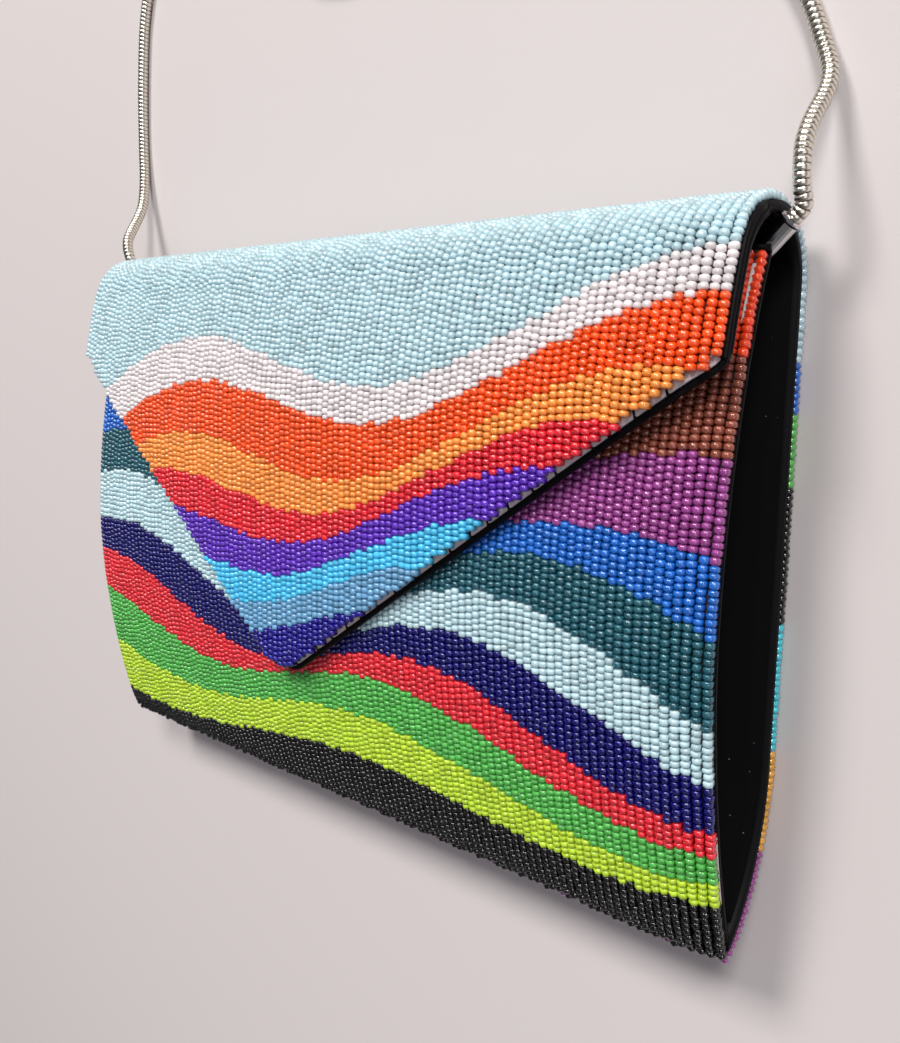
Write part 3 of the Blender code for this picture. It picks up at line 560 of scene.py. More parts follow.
def column_sites():
    """Return x, s, length and width of every bead site of the whole strip."""
    xs, ss, sizes, widths = [], [], [], []
    phase = 0.0
    for column in range(COLUMNS):
        x = -HALF + (column + 0.5) * COLUMN_PITCH
        phase += (ROW_STEP if x < LEVEL_ROWS_FROM else LEVEL_ROW_STEP) + rng.normal(0.0, ROW_SPREAD)
        steps = BEAD_LENGTH * np.clip(rng.normal(1.0, LENGTH_SPREAD, SITES_PER_COLUMN), *LENGTH_LIMITS)
        ends = FIRST_BEAD + (phase % 1.0) * BEAD_LENGTH + np.cumsum(steps)
        middle = ends - steps / 2
        keep = middle < TIP_S
        xs.append(x + rng.normal(0.0, SIDE_WANDER, keep.sum()))
        ss.append(middle[keep])
        sizes.append(steps[keep])
        widths.append(np.clip(rng.normal(1.0, WIDTH_SPREAD, keep.sum()), *WIDTH_LIMITS))
    return (np.concatenate(group) for group in (xs, ss, sizes, widths))


site_x, site_s, site_size, site_width = column_sites()
print("sites on the whole strip", len(site_x))

# %% [markdown]
# The strip's last part is the flap, whose sides slant to a blunt tip. Sites outside that outline go,
# and so do the ones under the snap's socket, which is sewn straight to the cloth.

# %% The sites that hold a bead
FLAP_SIDE = 0.0385
FLAP_TIP_X = -0.012
FLAP_TIP_WIDTH = 0.010
FLAP_BEAD_MARGIN = 0.0003
SNAP_CLEAR = 0.0007


def flap_corners():
    """Return the flap's corners in x and the distance from the hinge, from left to right."""
    tip = FLAP_TIP_WIDTH / 2
    return ((-HALF, 0.0), (-HALF, FLAP_SIDE), (FLAP_TIP_X - tip, FLAP_DROP),
            (FLAP_TIP_X + tip, FLAP_DROP), (HALF, FLAP_SIDE), (HALF, 0.0))


def inside_flap(x, t, margin):
    """Return where points lie on the flap, at least margin from its slanting edges and tip."""
    corners = flap_corners()
    inside = np.ones(x.shape, bool)
    for (ax, at), (bx, bt) in zip(corners[1:4], corners[2:5]):
        run = np.array((bx - ax, bt - at))
        run /= np.linalg.norm(run)
        inside &= (x - ax) * run[1] - (t - at) * run[0] > margin
    return inside


site_t = site_s - HINGE_S
site_y = np.interp(site_s, STRIP_S, STRIP_Y)
keep = ~(site_t > 0) | inside_flap(site_x, site_t, FLAP_BEAD_MARGIN)
socket_low, socket_high = (Vector(corner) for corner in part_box("snap_socket"))
socket = (socket_low + socket_high) / 2
SOCKET_REACH = (socket_high.x - socket_low.x) / 2 + BEAD_RADIUS + SNAP_CLEAR
keep &= ~((site_s < BOTTOM_S) & (np.hypot(site_x - socket.x, site_y - socket.y) < SOCKET_REACH))
site_x, site_s, site_t, site_y = (v[keep] for v in (site_x, site_s, site_t, site_y))
site_size, site_width = site_size[keep], site_width[keep]
print("bead sites", len(site_x))

# %% [markdown]
# ## The beadwork's colours
# The panels hold wavy ribbons of colour. A painted map could hold them, but beads take one colour
# each, so a rule fits better: each ribbon edge is a sine wave on a slanted line. Its numbers are the
# level, the slant, the swing, the half waves across the bag and the phase, the first three in shares
# of the panel's length.

# %% Ribbons
FLAP_EDGES = (
    (0.314, -0.096, 0.082, 1.38, 0.5), (0.400, -0.115, 0.073, 1.42, 0.5),
    (0.510, -0.125, 0.073, 1.47, 0.9), (0.584, -0.134, 0.065, 1.52, 1.3),
    (0.653, -0.144, 0.057, 1.57, 1.7), (0.731, -0.144, 0.049, 1.68, 2.1),
    (0.804, -0.134, 0.041, 1.81, 2.6), (0.882, -0.115, 0.033, 1.96, 3.0),
)
FLAP_COLOURS = ("pale_aqua", "white", "orange", "amber", "red", "purple", "sky", "slate", "indigo")
FRONT_EDGES = (
    (0.134, 0.039, 0.027, 1.38, 0.5), (0.247, 0.071, 0.047, 1.24, 0.6),
    (0.354, 0.102, 0.053, 1.31, 1.2), (0.441, 0.086, 0.060, 1.38, 1.7),
    (0.534, 0.078, 0.067, 1.47, 2.1), (0.614, 0.055, 0.053, 1.57, 2.5),
    (0.688, 0.047, 0.053, 1.57, 3.1), (0.748, 0.031, 0.047, 1.47, 3.7),
    (0.828, 0.008, 0.040, 1.38, 4.2), (0.908, -0.024, 0.027, 1.31, 4.6),
)
FRONT_COLOURS = (
    "red_orange", "brown", "magenta", "blue", "teal", "pale_aqua", "navy", "red", "green", "lime",
    "black",
)
BACK_EDGES = (
    (0.147, 0.014, 0.018, 1.31, 0.5), (0.263, 0.043, 0.043, 1.38, 1.3),
    (0.392, 0.058, 0.055, 1.31, 2.0), (0.527, 0.036, 0.055, 1.47, 2.9),
    (0.650, 0.014, 0.049, 1.57, 3.6), (0.772, -0.029, 0.037, 1.38, 4.4),
)
BACK_COLOURS = ("magenta", "gold", "turquoise", "black", "green", "blue", "pale_aqua")
PANELS = {
    "front": (FRONT_EDGES, FRONT_COLOURS, SIDE_SEAM, BOTTOM_S),
    "back": (BACK_EDGES, BACK_COLOURS, BOTTOM_S, HINGE_S),
    "flap": (FLAP_EDGES, FLAP_COLOURS, HINGE_S, TIP_S),
}
for panel, (_, colours, _, _) in PANELS.items():
    print(panel, len(colours), "ribbons")


# %% Which ribbon a site lies in
def ribbon_of(panel, x, s):
    """Return the number of the ribbon that each site lies in."""
    edges, _, start, end = PANELS[panel]
    share = 2 * x / WIDTH
    number = np.zeros(x.shape, int)
    for level, slant, swing, waves, phase in edges:
        wave = swing * np.sin(np.pi * waves * share + phase)
        number += start + (end - start) * (level + slant * share + wave) < s
    return number


# %% [markdown]
# The glass is drawn into canes, cut and tumbled smooth: a sharp highlight over a full body colour.
# One material with a colour per bead would do, but then nobody could recolour a lot, so each lot has
# its own. Lots also vary from bead to bead, so a value per bead shifts the tone. Pale lots have a
# lustre coat, which gives them their pearly look.

# %% Bead glass
TONE_SPREAD = 0.16
GLASS_IOR = 1.68
GLASS_ROUGHNESS = 0.13
LUSTRE_ROUGHNESS = 0.06
# Body colour of each bead lot, and the weight of its lustre coat
BEAD_LOTS = {
    "pale_aqua": ("B9D6DF", 0.8), "white": ("E6DEE0", 0.8), "orange": ("F15315", 0.5),
    "amber": ("F29440", 0.5), "red": ("DC2231", 0.5), "purple": ("5C29B6", 0.5),
    "sky": ("4AC0EC", 0.5), "slate": ("69A0C8", 0.5), "indigo": ("180E86", 0.3),
    "red_orange": ("F2451C", 0.5), "brown": ("884433", 0.4), "magenta": ("923E88", 0.5),
    "blue": ("1864C2", 0.5), "teal": ("1F5867", 0.4), "navy": ("070462", 0.2),
    "green": ("4FB04A", 0.5), "lime": ("B8D82E", 0.5), "black": ("030303", 0.1),
    "gold": ("E0A030", 0.5), "turquoise": ("3CC8D8", 0.5),
}


def bead_glass(lot):
    """Return the glass of one bead lot, with the tone of each bead."""
    colour, lustre = BEAD_LOTS[lot]
    material, tree, shader = new_material("seed_bead_glass_" + lot)
    tone = add_node(tree, "ShaderNodeAttribute", {"attribute_name": "bead_tone"})
    value = add_node(tree, "ShaderNodeMapRange",
                     {"To Min": 1 - TONE_SPREAD, "To Max": 1 + TONE_SPREAD},
                     {"Value": tone.outputs["Fac"]})
    shift = add_node(tree, "ShaderNodeHueSaturation", {"Color": hex_colour(colour)},
                     {"Value": value.outputs["Result"]})
    tree.links.new(shift.outputs["Color"], shader.inputs["Base Color"])
    shader.inputs["Roughness"].default_value = GLASS_ROUGHNESS
    shader.inputs["IOR"].default_value = GLASS_IOR
    shader.inputs["Coat Weight"].default_value = lustre
    shader.inputs["Coat Roughness"].default_value = LUSTRE_ROUGHNESS
    return material


GLASS = {lot: bead_glass(lot) for lot in BEAD_LOTS}
print("bead lots", len(GLASS))

# %% [markdown]
# A bead is a short barrel. It is repeated about 28,000 times, so it has a few dozen triangles: an
# open profile is spun round the hole's line over the part that can be seen, and a flat foot closes it
# on the cloth. Beads that the flap covers, and the back's, get a plainer profile.

# %% Bead solids
BEAD_OPENING = 220
BEAD_TURNS = 4
BEAD_FOOT = -0.76
FOOT_BELOW = -0.05
# Each pair is a distance along the hole, in bead lengths, and a radius, in bead radii
FINE_PROFILE = ((-0.485, 0.60), (-0.30, 1.0), (0.30, 1.0), (0.485, 0.60))
PLAIN_PROFILE = ((-0.485, 0.62), (0.0, 1.03), (0.485, 0.62))


def bead_solid(profile):
    """Return a bead's points and triangles: a barrel spun about Y, with a flat foot below."""
    bm = bmesh.new()
    start = math.radians((180 - BEAD_OPENING) / 2)
    verts = [bm.verts.new((radius * math.cos(start), along, radius * math.sin(start)))
             for along, radius in profile]
    edges = [bm.edges.new(pair) for pair in zip(verts, verts[1:])]
    bmesh.ops.spin(bm, geom=verts + edges, cent=(0, 0, 0), axis=(0, -1, 0),
                   angle=math.radians(BEAD_OPENING), steps=BEAD_TURNS)
    foot = [vert for vert in bm.verts if vert.co.z < FOOT_BELOW]
    for vert in foot:
        vert.co.z = BEAD_FOOT
    rims = [edge for edge in bm.edges if edge.is_boundary]
    sides = [edge for edge in rims if all(vert in foot for vert in edge.verts)]
    bmesh.ops.bridge_loops(bm, edges=sides)
    bmesh.ops.holes_fill(bm, edges=[edge for edge in bm.edges if edge.is_boundary])
    bmesh.ops.triangulate(bm, faces=bm.faces[:])
    point_outwards(bm)
    bm.verts.index_update()
    points = np.array([tuple(vert.co) for vert in bm.verts])
    triangles = np.array([[vert.index for vert in face.verts] for face in bm.faces])
    closed = all(edge.is_manifold for edge in bm.edges)
    print("bead", len(points), "points", len(triangles), "triangles", "closed", closed)
    bm.free()
    return points, triangles


FINE_BEAD = bead_solid(FINE_PROFILE)
PLAIN_BEAD = bead_solid(PLAIN_PROFILE)

# %% [markdown]
# Separate bead objects would be far too many, and instances are lost when the model is exported. So
# each colour of a panel is one mesh: every site turns and stretches a copy of the bead by array
# arithmetic, and all copies are written at once.

# %% The beads of one lot
BEAD_YAW = math.radians(4.0)
BEAD_LEAN = math.radians(5.0)


def bead_mesh(name, chosen, solid):
    """Return one mesh of the chosen sites' beads, each leaning a little its own way."""
    verts, faces = solid
    count = int(chosen.sum())
    point, across, back, normal = strip_frame(site_x[chosen], site_s[chosen])
    yaw = rng.normal(0.0, BEAD_YAW, count)[:, None]
    lean = rng.normal(0.0, BEAD_LEAN, count)[:, None]
    side = across * np.cos(yaw) + back * np.sin(yaw)
    ahead = back * np.cos(yaw) - across * np.sin(yaw)
    up = normal * np.cos(lean) + ahead * np.sin(lean)
    ahead = ahead * np.cos(lean) - normal * np.sin(lean)
    width = (BEAD_RADIUS * site_width[chosen])[:, None, None]
    size = site_size[chosen][:, None, None]
    centre = (point + normal * BEAD_HEIGHT)[:, None, :]
    place = (centre + side[:, None, :] * verts[None, :, 0:1] * width
             + ahead[:, None, :] * verts[None, :, 1:2] * size
             + up[:, None, :] * verts[None, :, 2:3] * BEAD_RADIUS)
    corners = (faces[None, :, :] + np.arange(count)[:, None, None] * len(verts)).ravel()
    mesh = bpy.data.meshes.new(name)
    mesh.vertices.add(count * len(verts))
    mesh.vertices.foreach_set("co", place.ravel())
    mesh.loops.add(len(corners))
    mesh.loops.foreach_set("vertex_index", corners)
    mesh.polygons.add(len(corners) // 3)
    mesh.polygons.foreach_set("loop_start", np.arange(0, len(corners), 3))
    mesh.update(calc_edges=True)
    tone = mesh.attributes.new("bead_tone", "FLOAT", "POINT")
    tone.data.foreach_set("value", np.repeat(rng.random(count), len(verts)))
    return mesh


# %% Which panel a site lies on, and which sites the flap covers
FOLD_BAND = 0.003
COVERED_MARGIN = 0.008
in_fold = np.abs(site_t) < FOLD_BAND
panel_of = np.where(site_s < BOTTOM_S, 0, np.where(site_t < 0, 1, 2))
slant = np.clip((np.abs(site_x - FLAP_TIP_X)) / (HALF - abs(FLAP_TIP_X)), 0.0, 1.0)
flap_edge_s = HINGE_S + FLAP_DROP - (FLAP_DROP - FLAP_SIDE) * slant
flap_edge_y = np.interp(flap_edge_s, STRIP_S, STRIP_Y)
covered = (panel_of == 0) & (site_y > flap_edge_y + COVERED_MARGIN)
print("in the fold", int(in_fold.sum()), "covered", int(covered.sum()))

# %% [markdown]
# Each mesh rides on the body that carries it. The beads on the fold line are a piece of their own,
# which rides on neither body.

# %% Bead panels
bead_total = 0
for index, panel in enumerate(("front", "back", "flap")):
    number = ribbon_of(panel, site_x, site_s)
    for k, lot in enumerate(PANELS[panel][1]):
        chosen = (panel_of == index) & (number == k) & ~in_fold
        parts = [chosen] if panel != "front" else [chosen & ~covered, chosen & covered]
        for part, hidden in zip(parts, (False, True)):
            if not part.any():
                continue
            solid = PLAIN_BEAD if hidden or panel == "back" else FINE_BEAD
            name = f"beads_{panel}_{lot}" + ("_covered" if hidden else "")
            piece = add_piece(name, bead_mesh(name, part, solid), GLASS[lot])
            bead_total += int(part.sum())
            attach(piece, "flap" if panel == "flap" else "bag")
            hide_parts(f"{panel}_beads_{lot}")
fold_beads = add_piece("beads_fold_pale_aqua", bead_mesh("beads_fold_pale_aqua", in_fold, FINE_BEAD),
                       GLASS["pale_aqua"])
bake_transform(fold_beads)
print("beads", bead_total + int(in_fold.sum()))

# %% [markdown]
# ## Cloths
# The ground cloth is a thick felt whose cut edge shows beyond the beads on the flap. The lining is a
# black satin. Each cloth is drawn flat as an outline and cut across where it will bend, because a
# face without cuts would stay flat. It is then given its thickness and bent with the same function
# as the beads, which no modifier does.


# %% Rounded corners
def rounded(corners, radii, steps=5):
    """Return an outline with each corner turned to an arc of its radius."""
    outline = []
    count = len(corners)
    for i, (corner, radius) in enumerate(zip(corners, radii)):
        here = Vector(corner)
        if radius == 0:
            outline.append(tuple(here))
            continue
        back = (Vector(corners[i - 1]) - here).normalized()
        ahead = (Vector(corners[(i + 1) % count]) - here).normalized()
        half = back.angle(ahead) / 2
        centre = here + (back + ahead).normalized() * (radius / math.sin(half))
        first = here + back * (radius / math.tan(half)) - centre
        last = here + ahead * (radius / math.tan(half)) - centre
        for k in range(steps + 1):
            spoke = first.lerp(last, k / steps).normalized() * radius
            outline.append(tuple(centre + spoke))
    return outline


# %% The cloths' outlines
FLAP_TIP_RADIUS = 0.004
# The cloths of the bag and the flap end this far from the hinge, and the fold's strip lies between.
BAND = 0.0055
FLAP_START = HINGE_S + BAND


def flap_outline(inset):
    """Return the outline of a flap cloth, from its left side to its right, clear of the fold."""
    sides = []
    for a, b in zip(flap_corners(), flap_corners()[1:]):
        run = (Vector(b) - Vector(a)).normalized()
        shift = Vector((run.y, -run.x)) * inset
        sides.append((Vector(a) + shift, run))
    moved = [(-HALF + inset, 0.0)]
    for (p, d), (q, e) in zip(sides, sides[1:]):
        along = ((q - p).x * e.y - (q - p).y * e.x) / (d.x * e.y - d.y * e.x)
        moved.append(tuple(p + d * along))
    moved.append((HALF - inset, 0.0))
    corner, tip = FLAP_CORNER_RADIUS - inset, FLAP_TIP_RADIUS - inset
    outline = rounded(moved, (0, corner, tip, tip, corner, 0))
    return [(x, max(HINGE_S + t, FLAP_START)) for x, t in outline]


def rectangle(low_x, high_x, start, end):
    """Return a rectangle's outline on the strip."""
    return [(low_x, start), (high_x, start), (high_x, end), (low_x, end)]


print("flap outline", len(flap_outline(0.0)), "points")

# %% Bending a cloth
ROLL_CUTS = [side * (ROLL_START + k * 0.00275) for side in (-1, 1) for k in range(4)]
CLOTH_STEP = 0.0025
MERGE = 1e-7


def cloth_mesh(outlines, low, high):
    """Return a cloth of flat outlines, cut across, given its thickness and bent round the bag."""
    bm = bmesh.new()
    for outline in outlines:
        bm.faces.new([bm.verts.new((x, s, low)) for x, s in outline])
    bmesh.ops.remove_doubles(bm, verts=bm.verts, dist=MERGE)
    first = min(vert.co.y for vert in bm.verts)
    last = max(vert.co.y for vert in bm.verts)
    cuts = [((0, s, 0), (0, 1, 0)) for s in np.arange(first + CLOTH_STEP, last, CLOTH_STEP)]
    cuts += [((x, 0, 0), (1, 0, 0)) for x in ROLL_CUTS]
    for place, normal in cuts:
        geometry = bm.verts[:] + bm.edges[:] + bm.faces[:]
        bmesh.ops.bisect_plane(bm, geom=geometry, dist=MERGE, plane_co=place, plane_no=normal)
    result = bmesh.ops.extrude_face_region(bm, geom=bm.faces[:])
    for item in result["geom"]:
        if isinstance(item, bmesh.types.BMVert):
            item.co.z = high
    flat = np.array([tuple(vert.co) for vert in bm.verts])
    for vert, place in zip(bm.verts, on_strip(flat[:, 0], flat[:, 1], flat[:, 2])):
        vert.co = place
    point_outwards(bm)
    return bm


# %% [markdown]
# A cloth's finish is a fine relief with a little unevenness of colour. Both come from one noise on
# Object coordinates, whose scale is one over a real size, so the relief and the tone fit together.
# Specks of lint are the near parts of a sparse cell pattern.

# %% Cloth finishes
GRAIN_TONES = (0.82, 1.15)
LINT_SPACING = 0.0033
LINT_SIZES = (0.02, 0.055)
LINT_COLOUR = "B8B2B4"
CLOTH_SPECULAR = 0.12


def fabric(name, colour, roughness, grain_size, depth, lint_share=0.0):
    """Return a cloth with a fine weave or nap in its relief and a little unevenness of colour."""
    material, tree, shader = new_material(name)
    place = add_node(tree, "ShaderNodeTexCoord")
    grain = add_node(tree, "ShaderNodeTexNoise", {"Scale": 1 / grain_size, "Detail": 4.0},
                     {"Vector": place.outputs["Object"]})
    ramp = add_node(tree, "ShaderNodeMapRange", {"To Min": GRAIN_TONES[0], "To Max": GRAIN_TONES[1]},
                    {"Value": grain.outputs["Fac"]})
    shade = add_node(tree, "ShaderNodeHueSaturation", {"Color": hex_colour(colour)},
                     {"Value": ramp.outputs["Result"]})
    surface = shade.outputs["Color"]
    if lint_share:
        spots = add_node(tree, "ShaderNodeTexVoronoi", {"Scale": 1 / LINT_SPACING},
                         {"Vector": place.outputs["Object"]})
        near = add_node(tree, "ShaderNodeMapRange",
                        {"From Min": LINT_SIZES[0], "From Max": LINT_SIZES[1],
                         "To Min": lint_share, "To Max": 0.0},
                        {"Value": spots.outputs["Distance"]})
        surface = colour_mix(tree, near.outputs["Result"], surface, LINT_COLOUR)
    tree.links.new(surface, shader.inputs["Base Color"])
    bump = add_node(tree, "ShaderNodeBump", {"Strength": 0.5, "Distance": depth},
                    {"Height": grain.outputs["Fac"]})
    tree.links.new(bump.outputs["Normal"], shader.inputs["Normal"])
    shader.inputs["Roughness"].default_value = roughness
    shader.inputs["Specular IOR Level"].default_value = CLOTH_SPECULAR
    return material


# %% The bag's cloths and thread
# Wool felt: matt fibres about 0.7 mm apart. Its own colour is the pale one of its cut edge.
# The darker felt under the beads is painted shade for the gaps between them.
shaded_felt = fabric("wool_felt_ground_painted_shade", "5A5256", 0.95, 0.0007, 0.00015)
felt_edge = fabric("wool_felt_cut_edge", "D2C4C6", 0.95, 0.0007, 0.00015)
# Satin: a smooth, close weave, here drawn at 0.45 mm so that it just shows, with a soft sheen.
satin = fabric("black_satin_lining", "08070A", 0.5, 0.00045, 0.00004)
# Cotton: a plain matt weave of about 0.55 mm that catches a few specks of lint.
cotton = fabric("black_cotton_gusset", "060507", 0.9, 0.00055, 0.0001, lint_share=0.45)
# Sewing thread: three plies wound at about 0.33 mm.
thread = fabric("black_sewing_thread", "0E0D10", 0.7, 0.00033, 0.00003)
print("cloths", ", ".join(finish.name for finish in (shaded_felt, felt_edge, satin, cotton, thread)))

# %% [markdown]
# ## Ground cloth and lining
# The body is one strip of each cloth, the flap another, and over the top fold lies a strip of each.
# One long cloth would be truer, but a rigid body can't bend, so the strip between them is a piece of
# its own, which rides on neither body.


# %% A cloth piece
def cloth(name, outlines, low, high, material, body, replaced=(), slot=None):
    """Make a cloth, let it ride on its body or stay loose over the fold. Its slot is not used."""
    piece = add_piece(name, cloth_mesh(outlines, low, high), material)
    if body == "fold":
        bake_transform(piece)
    else:
        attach(piece, body)
    if replaced:
        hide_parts(*replaced)
    return piece


# %% Body, flap and fold
FELT_FACE = -0.0005
FLAP_FELT_FACE = -0.0009
FOLD_FELT_FACE = -0.0007
BODY_LINING_TOP = FELT_FACE - 0.00015
FLAP_LINING_TOP = -0.0010
FOLD_LINING_TOP = -0.00085
FELT_HALF = HALF - 0.0009
FLAP_FELT_INSET = 0.0023
FELT_EDGE_INSET = 0.0022
BINDING_WIDTH = 0.0009
BODY_END = HINGE_S - BAND

# The felt under the beads carries painted shade.
cloth_body = cloth("ground_cloth_body", [rectangle(-FELT_HALF, FELT_HALF, 0.0, BODY_END)], FELT_FACE,
                   0.0, shaded_felt, "bag", ("body_cloth",), "ground_cloth")
lining_body = cloth("lining_body", [rectangle(-HALF, HALF, 0.0, BODY_END)], INNER_FACE,
                    BODY_LINING_TOP, satin, "bag", ("body_lining",), "lining_satin")
cloth_flap = cloth("ground_cloth_flap", [flap_outline(FLAP_FELT_INSET)], FLAP_FELT_FACE, 0.0, shaded_felt,
                   "flap", ("flap_cloth",), "ground_cloth")
rim_out, rim_in = flap_outline(0.0), flap_outline(FELT_EDGE_INSET)
edge_strip = list(zip(rim_out[3:-3], rim_out[4:-3], rim_in[4:-3], rim_in[3:-3]))
cloth("felt_edge_flap", edge_strip, FLAP_FELT_FACE, 0.0, felt_edge, "flap", (), "ground_cloth")
lining_flap = cloth("lining_flap", [flap_outline(BINDING_WIDTH)], INNER_FACE, FLAP_LINING_TOP, satin,
                    "flap", ("flap_lining",), "lining_satin")
cloth_fold = cloth("ground_cloth_fold", [rectangle(-FELT_HALF, FELT_HALF, BODY_END, FLAP_START)],
                   FOLD_FELT_FACE, 0.0, shaded_felt, "fold", (), "ground_cloth")
lining_fold = cloth("lining_fold", [rectangle(-HALF, HALF, BODY_END, FLAP_START)], INNER_FACE,
                    FOLD_LINING_TOP, satin, "fold", (), "lining_satin")

# %% [markdown]
# ## Binding, stitches and piping
# The flap's raw edges are covered from inside by a black tape. Along the sides it also wraps the
# edge, and along the slanting edges a narrow strip of felt shows outside the last beads, held by
# small black stitches. All round, the tape stands out past the flap's edge, partly as its real black
# edge and partly as painted shadow under the flap. The same tape closes the mouth's edge. They are
# the cloth function again with narrow outlines, because thin trim that is bent with its cloth never
# lifts off it.

# %% Binding
# How far the tape stands out past the flap's edge: partly its real black edge, partly painted shadow
# under the flap.
TAPE_AND_SHADOW_OUT = -0.0012
TAPE_BOTTOM = INNER_FACE - 0.0001
TAPE_TOP = -0.00095
WRAP_IN, WRAP_OUT = 0.0004, 0.0009
WRAP_TOPS = {"fold": 0.0, "flap": 0.0007}
WRAP_SPANS = {"fold": (BODY_END, FLAP_START), "flap": (FLAP_START, HINGE_S + FLAP_SIDE)}
outer, inner = flap_outline(TAPE_AND_SHADOW_OUT), flap_outline(BINDING_WIDTH)
tape = list(zip(outer, outer[1:], inner[1:], inner))
binding_and_shadow = cloth("binding_and_shadow_flap", tape, TAPE_BOTTOM, TAPE_TOP, satin, "flap", ("flap_binding",),
                "lining_satin")
for side, name in ((-1, "left"), (1, "right")):
    low_x, high_x = sorted((side * (HALF - WRAP_IN), side * (HALF + WRAP_OUT)))
    for part in ("fold", "flap"):
        wrap = rectangle(low_x, high_x, *WRAP_SPANS[part])
        cloth(f"binding_{part}_{name}", [wrap], TAPE_BOTTOM, WRAP_TOPS[part], satin, part, (),
              "lining_satin")

# %% Stitches
STITCH_PITCH = 0.0075
STITCH_WIDTH = 0.0004
STITCH_OUT, STITCH_IN = 0.0004, 0.0016
STITCH_SHIFT = 0.25
STITCH_LEAN = (-0.0006, 0.0010)
STITCH_HEIGHTS = (-0.0011, 0.0003)
stitches = []
for (ax, at), (bx, bt) in zip(flap_corners()[1:4], flap_corners()[2:5]):
    run = Vector((bx - ax, bt - at))
    inward = Vector((run.y, -run.x)).normalized()
    count = max(1, round(run.length / STITCH_PITCH))
    for k in range(count):
        share = (k + 0.5 + rng.uniform(-STITCH_SHIFT, STITCH_SHIFT)) / count
        place = Vector((ax, HINGE_S + at)) + run * share
        across = run.normalized() * (STITCH_WIDTH / 2)
        lean = run.normalized() * rng.uniform(*STITCH_LEAN)
        start, end = place - inward * STITCH_OUT, place + inward * STITCH_IN + lean
        stitches.append([tuple(start - across), tuple(start + across), tuple(end + across),
                         tuple(end - across)])
cloth("flap_stitches", stitches, *STITCH_HEIGHTS, thread, "flap", (), "sewing_thread")

# %% [markdown]
# Near the mouth's right corner the last two columns gape and the pale felt shows between them, and
# lower down it shows outside the last column. Two slivers of felt give these small faults of hand
# work, which tell the eye that the beads are sewn to a cloth.

# %% Felt that shows, and the mouth's piping
GAPE_SPAN = (0.0034, 0.0150)
GAPE_HEIGHTS = (-0.0001, 0.0016)
GAPE_IN, GAPE_OUT, GAPE_OUT_END = -0.0002, 0.0005, 0.0001
BARE_SPAN = (0.118, 0.134)
BARE_HEIGHTS = (-0.0004, 0.0003)
BARE_X = (HALF - 0.0010, HALF - 0.0001)
PIPING_SPAN = (-0.0009, -0.00005)
PIPING_TOP = 0.0009
seam_x = HALF - COLUMN_PITCH
gape = [(seam_x + GAPE_IN, GAPE_SPAN[0]), (seam_x + GAPE_OUT, GAPE_SPAN[0]),
        (seam_x + GAPE_OUT_END, GAPE_SPAN[1]), (seam_x + GAPE_IN, GAPE_SPAN[1])]
cloth("felt_between_columns", [gape], *GAPE_HEIGHTS, felt_edge, "bag", (), "ground_cloth")
cloth("felt_edge_front", [rectangle(*BARE_X, *BARE_SPAN)], *BARE_HEIGHTS, felt_edge, "bag", (),
      "ground_cloth")
cloth("mouth_piping", [rectangle(-HALF, HALF, *PIPING_SPAN)], INNER_FACE, PIPING_TOP, satin, "bag",
      (), "lining_satin")

# %% [markdown]
# ## Gussets
# Each gusset is a black cotton leaf folded inwards, sewn to the inner edges of the front and the
# back. It is a soft V in plan, deeper towards the mouth, with a few shallow creases. A cloth
# simulation would need sewing springs along both seams. A grid whose rows run from seam to seam gives
# the same hang, and its edges lie on the seams exactly.

# %% Gusset sizes
GUSSET_BOTTOM = 0.007
GUSSET_TOP = HEIGHT - 0.0118
GUSSET_EDGE_IN = 0.0010
GUSSET_SEAM_GAP = 0.0002
GUSSET_THICKNESS = 0.0006
GUSSET_ROWS = 55
GUSSET_POINTS = 16
FOLD_DEPTH = 0.019
FOLD_DEPTH_BELOW, FOLD_DEPTH_RISE = 0.22, 1.6
FOLD_SHARPNESS = 1.35
CREASE_DEPTH = 0.0016
# The crease pattern's steps: per metre of height, from seam to seam and from side to side
CREASES = (45, 2.2, 3.0)
front_part = STRIP_S <= BOTTOM_S
back_part = (STRIP_S >= BOTTOM_S) & (STRIP_S < HINGE_S)
print("gusset", round(GUSSET_TOP - GUSSET_BOTTOM, 4), "m long")


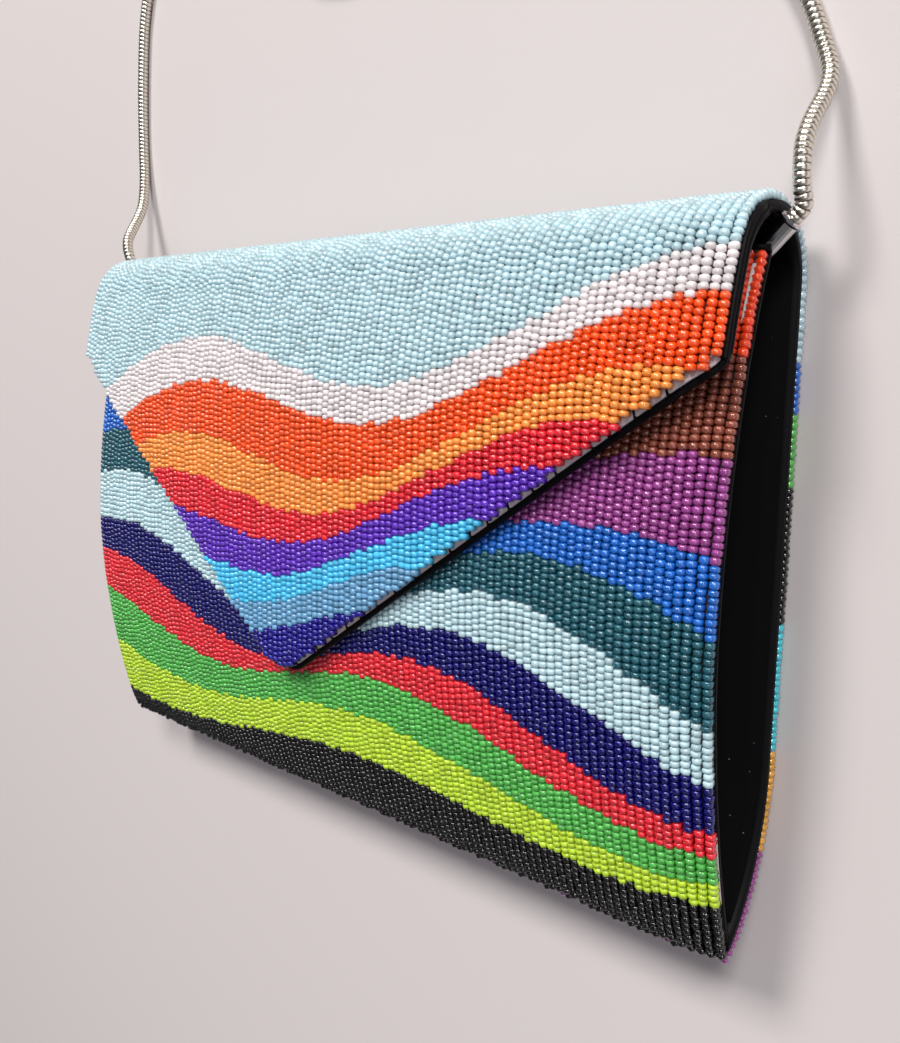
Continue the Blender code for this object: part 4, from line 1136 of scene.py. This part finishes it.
# %% A gusset's cloth
def gusset_mesh(side):
    """Return one gusset as a closed folded cloth."""
    bm = bmesh.new()
    bmesh.ops.create_grid(bm, x_segments=GUSSET_POINTS, y_segments=GUSSET_ROWS, size=0.5)
    share = np.array([vert.co.y + 0.5 for vert in bm.verts])
    across = np.array([vert.co.x + 0.5 for vert in bm.verts])
    ys = GUSSET_BOTTOM + (GUSSET_TOP - GUSSET_BOTTOM) * share - HEIGHT / 2
    front_s = np.interp(ys, STRIP_Y[front_part][::-1], STRIP_S[front_part][::-1])
    back_s = np.interp(ys, STRIP_Y[back_part], STRIP_S[back_part])
    edge = side * (HALF - GUSSET_EDGE_IN)
    inner = INNER_FACE - GUSSET_THICKNESS / 2 - GUSSET_SEAM_GAP
    fronts = on_strip(edge, front_s, inner)
    backs = on_strip(edge, back_s, inner)
    opening = np.minimum(1.0, FOLD_DEPTH_BELOW + FOLD_DEPTH_RISE * share)
    depth = FOLD_DEPTH * np.sin(math.pi / 2 * opening)
    fold = 1.0 - np.abs(2 * across - 1) ** FOLD_SHARPNESS
    for k, vert in enumerate(bm.verts):
        place = Vector(backs[k]).lerp(Vector(fronts[k]), across[k])
        spot = Vector((place.y * CREASES[0], across[k] * CREASES[1], side * CREASES[2]))
        crease = noise.noise(spot) * CREASE_DEPTH
        vert.co = (place.x - side * (depth[k] + crease) * fold[k], place.y, place.z)
    bmesh.ops.recalc_face_normals(bm, faces=bm.faces)
    bmesh.ops.solidify(bm, geom=bm.faces[:], thickness=GUSSET_THICKNESS)
    point_outwards(bm)
    return bm


# %% Both gussets
for side, name in ((1, "right"), (-1, "left")):
    gusset = add_piece("gusset_cloth_" + name, gusset_mesh(side), cotton)
    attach(gusset, "bag")
    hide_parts("gusset_" + name)

# %% [markdown]

# %% [markdown]
# ## Fittings
# The caps, the thread loops and the magnetic snap keep their solids, which have their real shapes.
# They are small and rigid, so they only take a finish.

# %% Fittings
# Polished nickel: a near mirror that takes the colours around it.
cap_metal = metal_material("polished_nickel_cap", "D4D2D4", 0.16)
# Pressed steel: the same grey, but its highlights are spread.
snap_steel = metal_material("magnetic_snap_steel", "B8B4AC", 0.32)
FITTINGS = {
    "chain_cap_right": cap_metal, "chain_cap_left": cap_metal, "snap_socket": snap_steel,
    "snap_stud": snap_steel, "cap_thread_right": thread, "cap_thread_left": thread,
}
for node, material in FITTINGS.items():
    for material_slot in NODES[node].material_slots:
        material_slot.material = material
print("fittings", len(FITTINGS))

# %% [markdown]
# ## Floor and light
# A pale seamless table carries the bag. Two soft lamps beyond the fold give each bead its
# highlights and put the shadow below the flap's edge, and a wide one fills from the side. The lamps
# stand far off, so that the table is lit evenly and doesn't turn white near them.

# %% Floor
FLOOR_HALF = 3.0
floor_mesh = bmesh.new()
bmesh.ops.create_grid(floor_mesh, x_segments=1, y_segments=1, size=FLOOR_HALF)
# Matt paint: no highlight, so only the shadow shows on it.
floor_material, _, floor_shader = new_material("painted_table")
floor_shader.inputs["Base Color"].default_value = hex_colour("D2CBCB")
floor_shader.inputs["Roughness"].default_value = 0.8
floor = add_piece("table_top", floor_mesh, floor_material, smooth=False)

# %% Lamps and world
LAMP_TARGET = (0, 0, 0.02)
# Place, edge length in metres, power in watts and colour of each lamp
LAMPS = {
    "lamp_left": ((-0.50, 1.84, 1.96), 0.80, 53.0, "FFFCF8"),
    "lamp_right": ((1.20, 1.76, 1.82), 0.72, 45.0, "FFFCF8"),
    "soft_side": ((1.65, -0.30, 1.49), 1.5, 9.0, "F6F6FF"),
}
for name, (place, size, power, colour) in LAMPS.items():
    light = bpy.data.lights.new(name, "AREA")
    light.size = size
    light.energy = power
    light.color = hex_colour(colour)[:3]
    lamp = bpy.data.objects.new(name, light)
    bpy.context.scene.collection.objects.link(lamp)
    lamp.location = place
    aim = Vector(LAMP_TARGET) - Vector(place)
    lamp.rotation_euler = aim.to_track_quat("-Z", "Y").to_euler()
ROOM_COLOUR = "E8E8EC"
ROOM_STRENGTH = 0.17
world = bpy.data.worlds.new("room")
world.use_nodes = True
background = world.node_tree.nodes["Background"]
background.inputs["Color"].default_value = hex_colour(ROOM_COLOUR)
background.inputs["Strength"].default_value = ROOM_STRENGTH
bpy.context.scene.world = world
bpy.context.scene.view_settings.view_transform = "Standard"
print("lamps", len(LAMPS))
